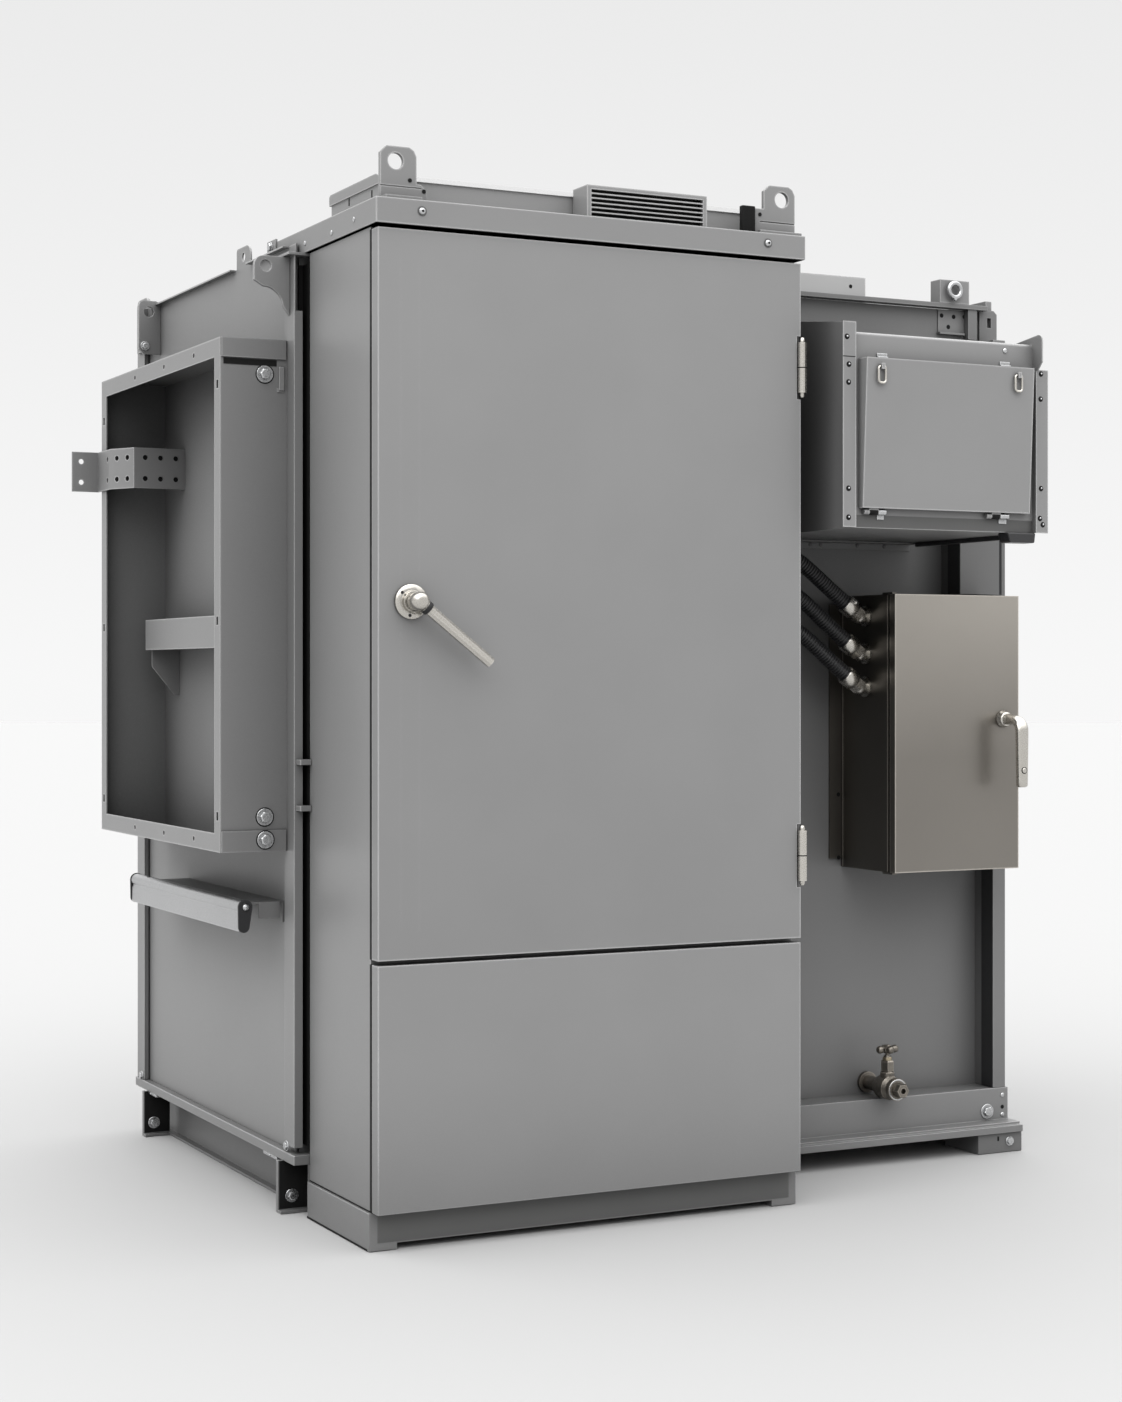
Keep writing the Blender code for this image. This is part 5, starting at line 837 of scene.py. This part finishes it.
stopLook = {"x": (1.500, 1.578), "y": (-0.114, -0.074), "drop": 0.023, "rounding": 0.003, "slant": 0.007,
            "rightSlant": -0.4}
lipShadeStrip = {"x": (1.562, 1.577), "y": (-0.074, 0.338), "drop": 0.0105, "rounding": 0.0015}
bm = bmesh.new()
stopZ = (boxFloor - stopLook["drop"], boxFloor - clear)
boxInto(bm, *slab(stopLook["x"], stopLook["y"], stopZ), stopLook["rounding"])
middle = spot(sum(stopLook["x"]) / 2, 0, 0).x
for v in bm.verts:
    depth = (boxFloor - v.co.z) / stopLook["drop"]
    v.co.x += stopLook["slant"] * depth * (1 if v.co.x < middle else stopLook["rightSlant"])
lipShadeZ = (boxFloor - lipShadeStrip["drop"], boxFloor - clear)
boxInto(bm, *slab(lipShadeStrip["x"], lipShadeStrip["y"], lipShadeZ), lipShadeStrip["rounding"])
addPiece("terminalStopAndLipShade", bm, "rubber")

# dark strips down the right post's left sides, and a dark line beside its wide face, a painted shadow of the
# face's proud edge
wideLook = {"side": 1.673, "front": 0.306, "z": (1.3625, 1.8655), "groove": (1.790, 1.797), "proud": 0.0005}
narrowLook = {"side": 1.774, "front": 0.310, "z": (0.150, 1.361)}
postStrip = {"thick": 0.0012, "setBack": 0.001, "back": 0.356, "rounding": 0.0003}
bm = bmesh.new()
for look in (wideLook, narrowLook):
    block = slab((look["side"] - postStrip["thick"], look["side"] - hair),
                 (look["front"] + postStrip["setBack"], postStrip["back"]), look["z"])
    boxInto(bm, *block, postStrip["rounding"])
edgeShadowY = around(wideLook["front"], wideLook["proud"])
boxInto(bm, *slab(wideLook["groove"], edgeShadowY, wideLook["z"]), hair)
addPiece("postDarkStrips", bm, "plastic")

# painted shade: a darker plate on the plinth's front and black plates on the feet's front faces
plinthShadeLook = {"x": (0.013, 0.987), "z": (0.0165, 0.0770), "thick": 0.0006}
addBlocks("plinthFrontShade", "baseGrey", [layer(plinthShadeLook, plinthLow.y - cornerLow.y)], hair)
footShadeLook = {"x": (-0.0425, 0.0225), "y": (0.420, 1.407), "z": (0.0075, 0.1115), "thick": 0.0006}
addBlocks("footShadePlates", "black", [layer(footShadeLook, y) for y in footShadeLook["y"]], hair)

# drilled holes in the control box's wall plate, and bright strips on the edges of the box's left side,
# painted highlights
controlHoles = {"rows": ((1.3690, 0.877), (1.3700, 0.725)), "face": 0.3807, "radius": 0.0050}
controlEdgeHighlights = {"x": (1.3775, 1.3783), "rows": ((0.1835, 0.1865), (0.3735, 0.3765)), "z": (0.705, 1.352)}
places = [spot(x, controlHoles["face"], z) for x, z in controlHoles["rows"]]
addDots("controlPlateHoles", "black", places, controlHoles["radius"])
addBlocks("controlBoxEdgeHighlights", "stainless",
          [slab(controlEdgeHighlights["x"], span, controlEdgeHighlights["z"]) for span in controlEdgeHighlights["rows"]], hair)

# control box's grip: a round boss, a stem that bends down and a broad grip with a lock button
gripLook = {
    "hubDrop": 0.016,
    "bossOut": 0.0003,
    "lift": 0.004,         # from the door to the stem's root
    "stand": 0.070,
    "bend": 0.030,
    "bendSteps": 8,
    "straight": 0.012,     # from the stem's second ring to the bend
    "stem": 0.0130,
    "length": 0.160,
    "half": 0.0168,
    "tip": 0.0138,
    "thick": 0.0092,
    "square": 0.7,         # below 1 the section is squarer than an ellipse
    "ends": (0.86, 0.55),  # how far the last two rings shrink
    "endRun": (0.004, 0.0015),
    "steps": 10,
    "sides": 24,
    "button": 0.120,
}
bossProfile = ((0.0205, 0.0), (0.0205, 0.004), (0.0175, 0.006), (0.0175, 0.013), (0.0150, 0.016))
buttonProfile = ((0.0062, -0.001), (0.0062, 0.0012), (0.0050, 0.0020))
camLook = {"x": 0.008, "y": (-0.008, -0.003), "z": (-0.034, 0.008), "rounding": 0.001}
gripLow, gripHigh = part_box("control_handle")
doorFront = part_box("control_door")[0].y
gripX = (gripLow.x + gripHigh.x) / 2
gripZ = gripHigh.z - gripLook["hubDrop"]
root = doorFront - gripLook["lift"]
bend, stand, length = gripLook["bend"], gripLook["stand"], gripLook["length"]
track = [(0.0, 0.0), (stand - bend - gripLook["straight"], 0.0)]
for k in range(gripLook["bendSteps"] + 1):
    a = math.radians(90 - 90 * k / gripLook["bendSteps"])
    track.append((stand - bend + bend * math.cos(a), -bend + bend * math.sin(a)))
steps = gripLook["steps"]
run = length - bend - gripLook["endRun"][0]
track += [(stand, -bend - run * k / steps) for k in range(1, steps + 1)]
track += [(stand, -length + gripLook["endRun"][1]), (stand, -length)]
endShrink = dict(zip((len(track) - 2, len(track) - 1), gripLook["ends"]))
bm = bmesh.new()
rings = []
for i, (outward, drop) in enumerate(track):
    ahead, behind = track[min(i + 1, len(track) - 1)], track[max(i - 1, 0)]
    way = Vector((ahead[0] - behind[0], ahead[1] - behind[1])).normalized()
    across = Vector((-way.y, way.x))
    share = max(0.0, -drop / length)
    half = gripLook["half"] + (gripLook["tip"] - gripLook["half"]) * share
    thick = gripLook["thick"]
    if outward < stand - bend:
        half = thick = gripLook["stem"]
    shrink = endShrink.get(i, 1.0)
    ring = []
    for c, s in circle(1, gripLook["sides"]):
        lift = across * thick * shrink * math.copysign(abs(c) ** gripLook["square"], c)
        x = gripX + half * shrink * math.copysign(abs(s) ** gripLook["square"], s)
        ring.append(bm.verts.new((x, root - outward - lift.x, gripZ + drop + lift.y)))
    rings.append(ring)
for low, high in zip(rings, rings[1:]):
    for k in range(gripLook["sides"]):
        bm.faces.new((low[k], low[k - 1], high[k - 1], high[k]))
bm.faces.new(rings[0])
bm.faces.new(rings[-1])
turnedInto(bm, aim(Vector((gripX, doorFront - gripLook["bossOut"], gripZ)), front), bossProfile, 32)
# its spindle through the door, and the cam behind
spindle = ((0.006, 0.0), (0.006, gripHigh.y - doorFront))
turnedInto(bm, aim(Vector((gripX, gripHigh.y, gripZ)), front), spindle, 16)
boxInto(bm, Vector((gripX - camLook["x"], gripHigh.y + camLook["y"][0], gripZ + camLook["z"][0])),
        Vector((gripX + camLook["x"], gripHigh.y + camLook["y"][1], gripZ + camLook["z"][1])),
        camLook["rounding"])
button = Vector((gripX, root - stand - gripLook["thick"], gripZ - gripLook["button"]))
turnedInto(bm, aim(button, front), buttonProfile, 20)
grip = addPiece("controlGrip", bm, "nickel", "control_handle", smooth=True)
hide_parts("control_handle")
bm = bmesh.new()
ringInto(bm, aim(button, front), flatRing(0.0062, 0.0080, -0.0003, 0.0004), 24)
addPiece("controlGripSlot", bm, "black", "control_handle")

# bright flange ring and brass neck ring on the drain valve
valveLook = {
    "x": 1.4515,
    "z": 0.178,
    "flange": 0.0245,
    "flangeSection": ((0.0185, 0.0), (0.0258, 0.0), (0.0258, 0.0010), (0.0245, 0.0020), (0.0185, 0.0020)),
    "stem": 0.294,
    "neck": 0.062,
    "neckSection": ((0.0090, 0.0), (0.0112, 0.0), (0.0112, 0.0095), (0.0104, 0.0105), (0.0090, 0.0105)),
}
flangeAt = spot(valveLook["x"], 0, valveLook["z"])
flangeAt.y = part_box("valve_body")[0].y + valveLook["flange"]
bm = bmesh.new()
ringInto(bm, aim(flangeAt, front), valveLook["flangeSection"], 36)
addPiece("valveFlangeRing", bm, "zinc")
neckAt = spot(valveLook["x"], valveLook["stem"], valveLook["z"] + valveLook["neck"])
bm = bmesh.new()
ringInto(bm, aim(neckAt, upward), valveLook["neckSection"], 30)
addPiece("valveNeckRing", bm, "brass")

# clips that tie the front left post to the cabinet's side
clipLook = {"heights": (0.978, 0.879), "x": (-0.026, -0.0003), "y": (0.332, 0.362), "tall": 0.012,
            "rounding": 0.0015}
blocks = [slab(clipLook["x"], clipLook["y"], around(z, clipLook["tall"] / 2)) for z in clipLook["heights"]]
addBlocks("postClips", "paint", blocks, clipLook["rounding"])
print("fasteners and brackets set")


def arc(x, z, radius, start, sweep, steps):
    angles = [math.radians(start + sweep * k / steps) for k in range(steps + 1)]
    return [(x + radius * math.cos(a), z + radius * math.sin(a)) for a in angles]


# black end plates on the drop handle, cut to its section, each with a bright bolt
capLook = {"x": -0.120, "z": 0.665, "radius": 0.0162, "top": (-8, 196, 20), "foot": 0.0125, "footX": 0.0030,
           "drop": 0.0425, "bottom": (186, 168, 16), "thick": 0.0045, "boltX": 0.001}
handleLow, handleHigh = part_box("drop_handle")
capX, capZ = spot(capLook["x"], 0, 0).x, capLook["z"]
outline = arc(capX, capZ, capLook["radius"], *capLook["top"])
outline += arc(capX - capLook["footX"], capZ - capLook["drop"], capLook["foot"], *capLook["bottom"])
bm = bmesh.new()
boltMesh = bmesh.new()
for y, way in ((handleLow.y, -1), (handleHigh.y, 1)):
    outerY = y + way * capLook["thick"]
    faces = []
    for depth in (y, outerY):
        faces.append([bm.verts.new((x, depth, z)) for x, z in outline])
    for loop in faces:
        bm.faces.new(loop)
    for i in range(len(outline)):
        bm.faces.new((faces[0][i - 1], faces[0][i], faces[1][i], faces[1][i - 1]))
    boltInto(boltMesh, Vector((capX + capLook["boltX"], outerY, capZ)), (0, way, 0), "stud")
addPiece("dropHandleCaps", bm, "plastic", "drop_handle")
addPiece("dropHandleBolts", boltMesh, "zinc", "drop_handle")

# dark collar on the lever and the screws in its rose
leverLook = {"x": 0.070, "z": 1.313, "stand": -0.087, "droop": 38.0, "collar": (0.0165, 0.0270),
             "radius": 0.0142, "end": 0.0132}
droop = math.radians(leverLook["droop"])
along = Vector((math.cos(droop), 0, -math.sin(droop)))
hub = spot(leverLook["x"], leverLook["stand"], leverLook["z"])
first, last = leverLook["collar"]
bm = bmesh.new()
sleeveInto(bm, aim(hub + along * first, along), leverLook["radius"], leverLook["end"], last - first)
addPiece("leverCollar", bm, "plastic", "lever", smooth=True)

roseLook = {"ring": 0.0285, "screws": (20, 140, 260), "face": 0.0100,
            "screw": ((0.0034, -0.0003), (0.0034, 0.0006), (0.0026, 0.0012))}
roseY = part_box("handle_rose")[1].y - roseLook["face"]
bm = bmesh.new()
for angle in roseLook["screws"]:
    a = math.radians(angle)
    place = Vector((hub.x + roseLook["ring"] * math.cos(a), roseY, hub.z + roseLook["ring"] * math.sin(a)))
    turnedInto(bm, aim(place, front), roseLook["screw"], 14)
addPiece("roseScrews", bm, "plastic", "cabinet_door")
print("handles dressed")

# pale floor under a studio dome that is brighter overhead, and a soft lamp from the front left
scene.view_settings.view_transform = "Standard"
floorLook = {"size": 240.0, "colour": (0.38, 0.38, 0.38), "rough": 0.7, "shine": 0.1, "drop": 0.001}
bm = bmesh.new()
bmesh.ops.create_grid(bm, x_segments=1, y_segments=1, size=floorLook["size"] / 2)
mesh = bpy.data.meshes.new("studioFloor")
bm.to_mesh(mesh)
bm.free()
floorFinish, floorShader = newFinish("studioFloor", floorLook["colour"], floorLook["rough"])
floorShader.inputs["Specular IOR Level"].default_value = floorLook["shine"]
mesh.materials.append(floorFinish)
floor = bpy.data.objects.new("studioFloor", mesh)
floor.location.z = -floorLook["drop"]
scene.collection.objects.link(floor)

# each row is the sine of the height where a change starts and ends, and the brightness there
domeLook = {"backdrop": (0.0, 0.30, 0.935, 0.82), "overhead": (0.30, 0.65, 0.0, 1.7)}
world = bpy.data.worlds.new("studio")
world.use_nodes = True
tree = world.node_tree
where = tree.nodes.new("ShaderNodeTexCoord")
split = tree.nodes.new("ShaderNodeSeparateXYZ")
total = tree.nodes.new("ShaderNodeMath")
tree.links.new(where.outputs["Generated"], split.inputs["Vector"])
for place, row in enumerate(domeLook.values()):
    fade = tree.nodes.new("ShaderNodeMapRange")
    for socket, value in zip(rampSockets, row):
        fade.inputs[socket].default_value = value
    tree.links.new(split.outputs["Z"], fade.inputs["Value"])
    tree.links.new(fade.outputs["Result"], total.inputs[place])
tree.links.new(total.outputs["Value"], tree.nodes["Background"].inputs["Color"])
scene.world = world

lampLook = {"towards": (0.35, 0.55, -0.76), "spread": 70.0, "strength": 1.2}
sunData = bpy.data.lights.new("softLamp", "SUN")
sunData.angle = math.radians(lampLook["spread"])
sunData.energy = lampLook["strength"]
sun = bpy.data.objects.new("softLamp", sunData)
sun.rotation_euler = Vector(lampLook["towards"]).to_track_quat("-Z", "Y").to_euler()
scene.collection.objects.link(sun)
print("studio lit")
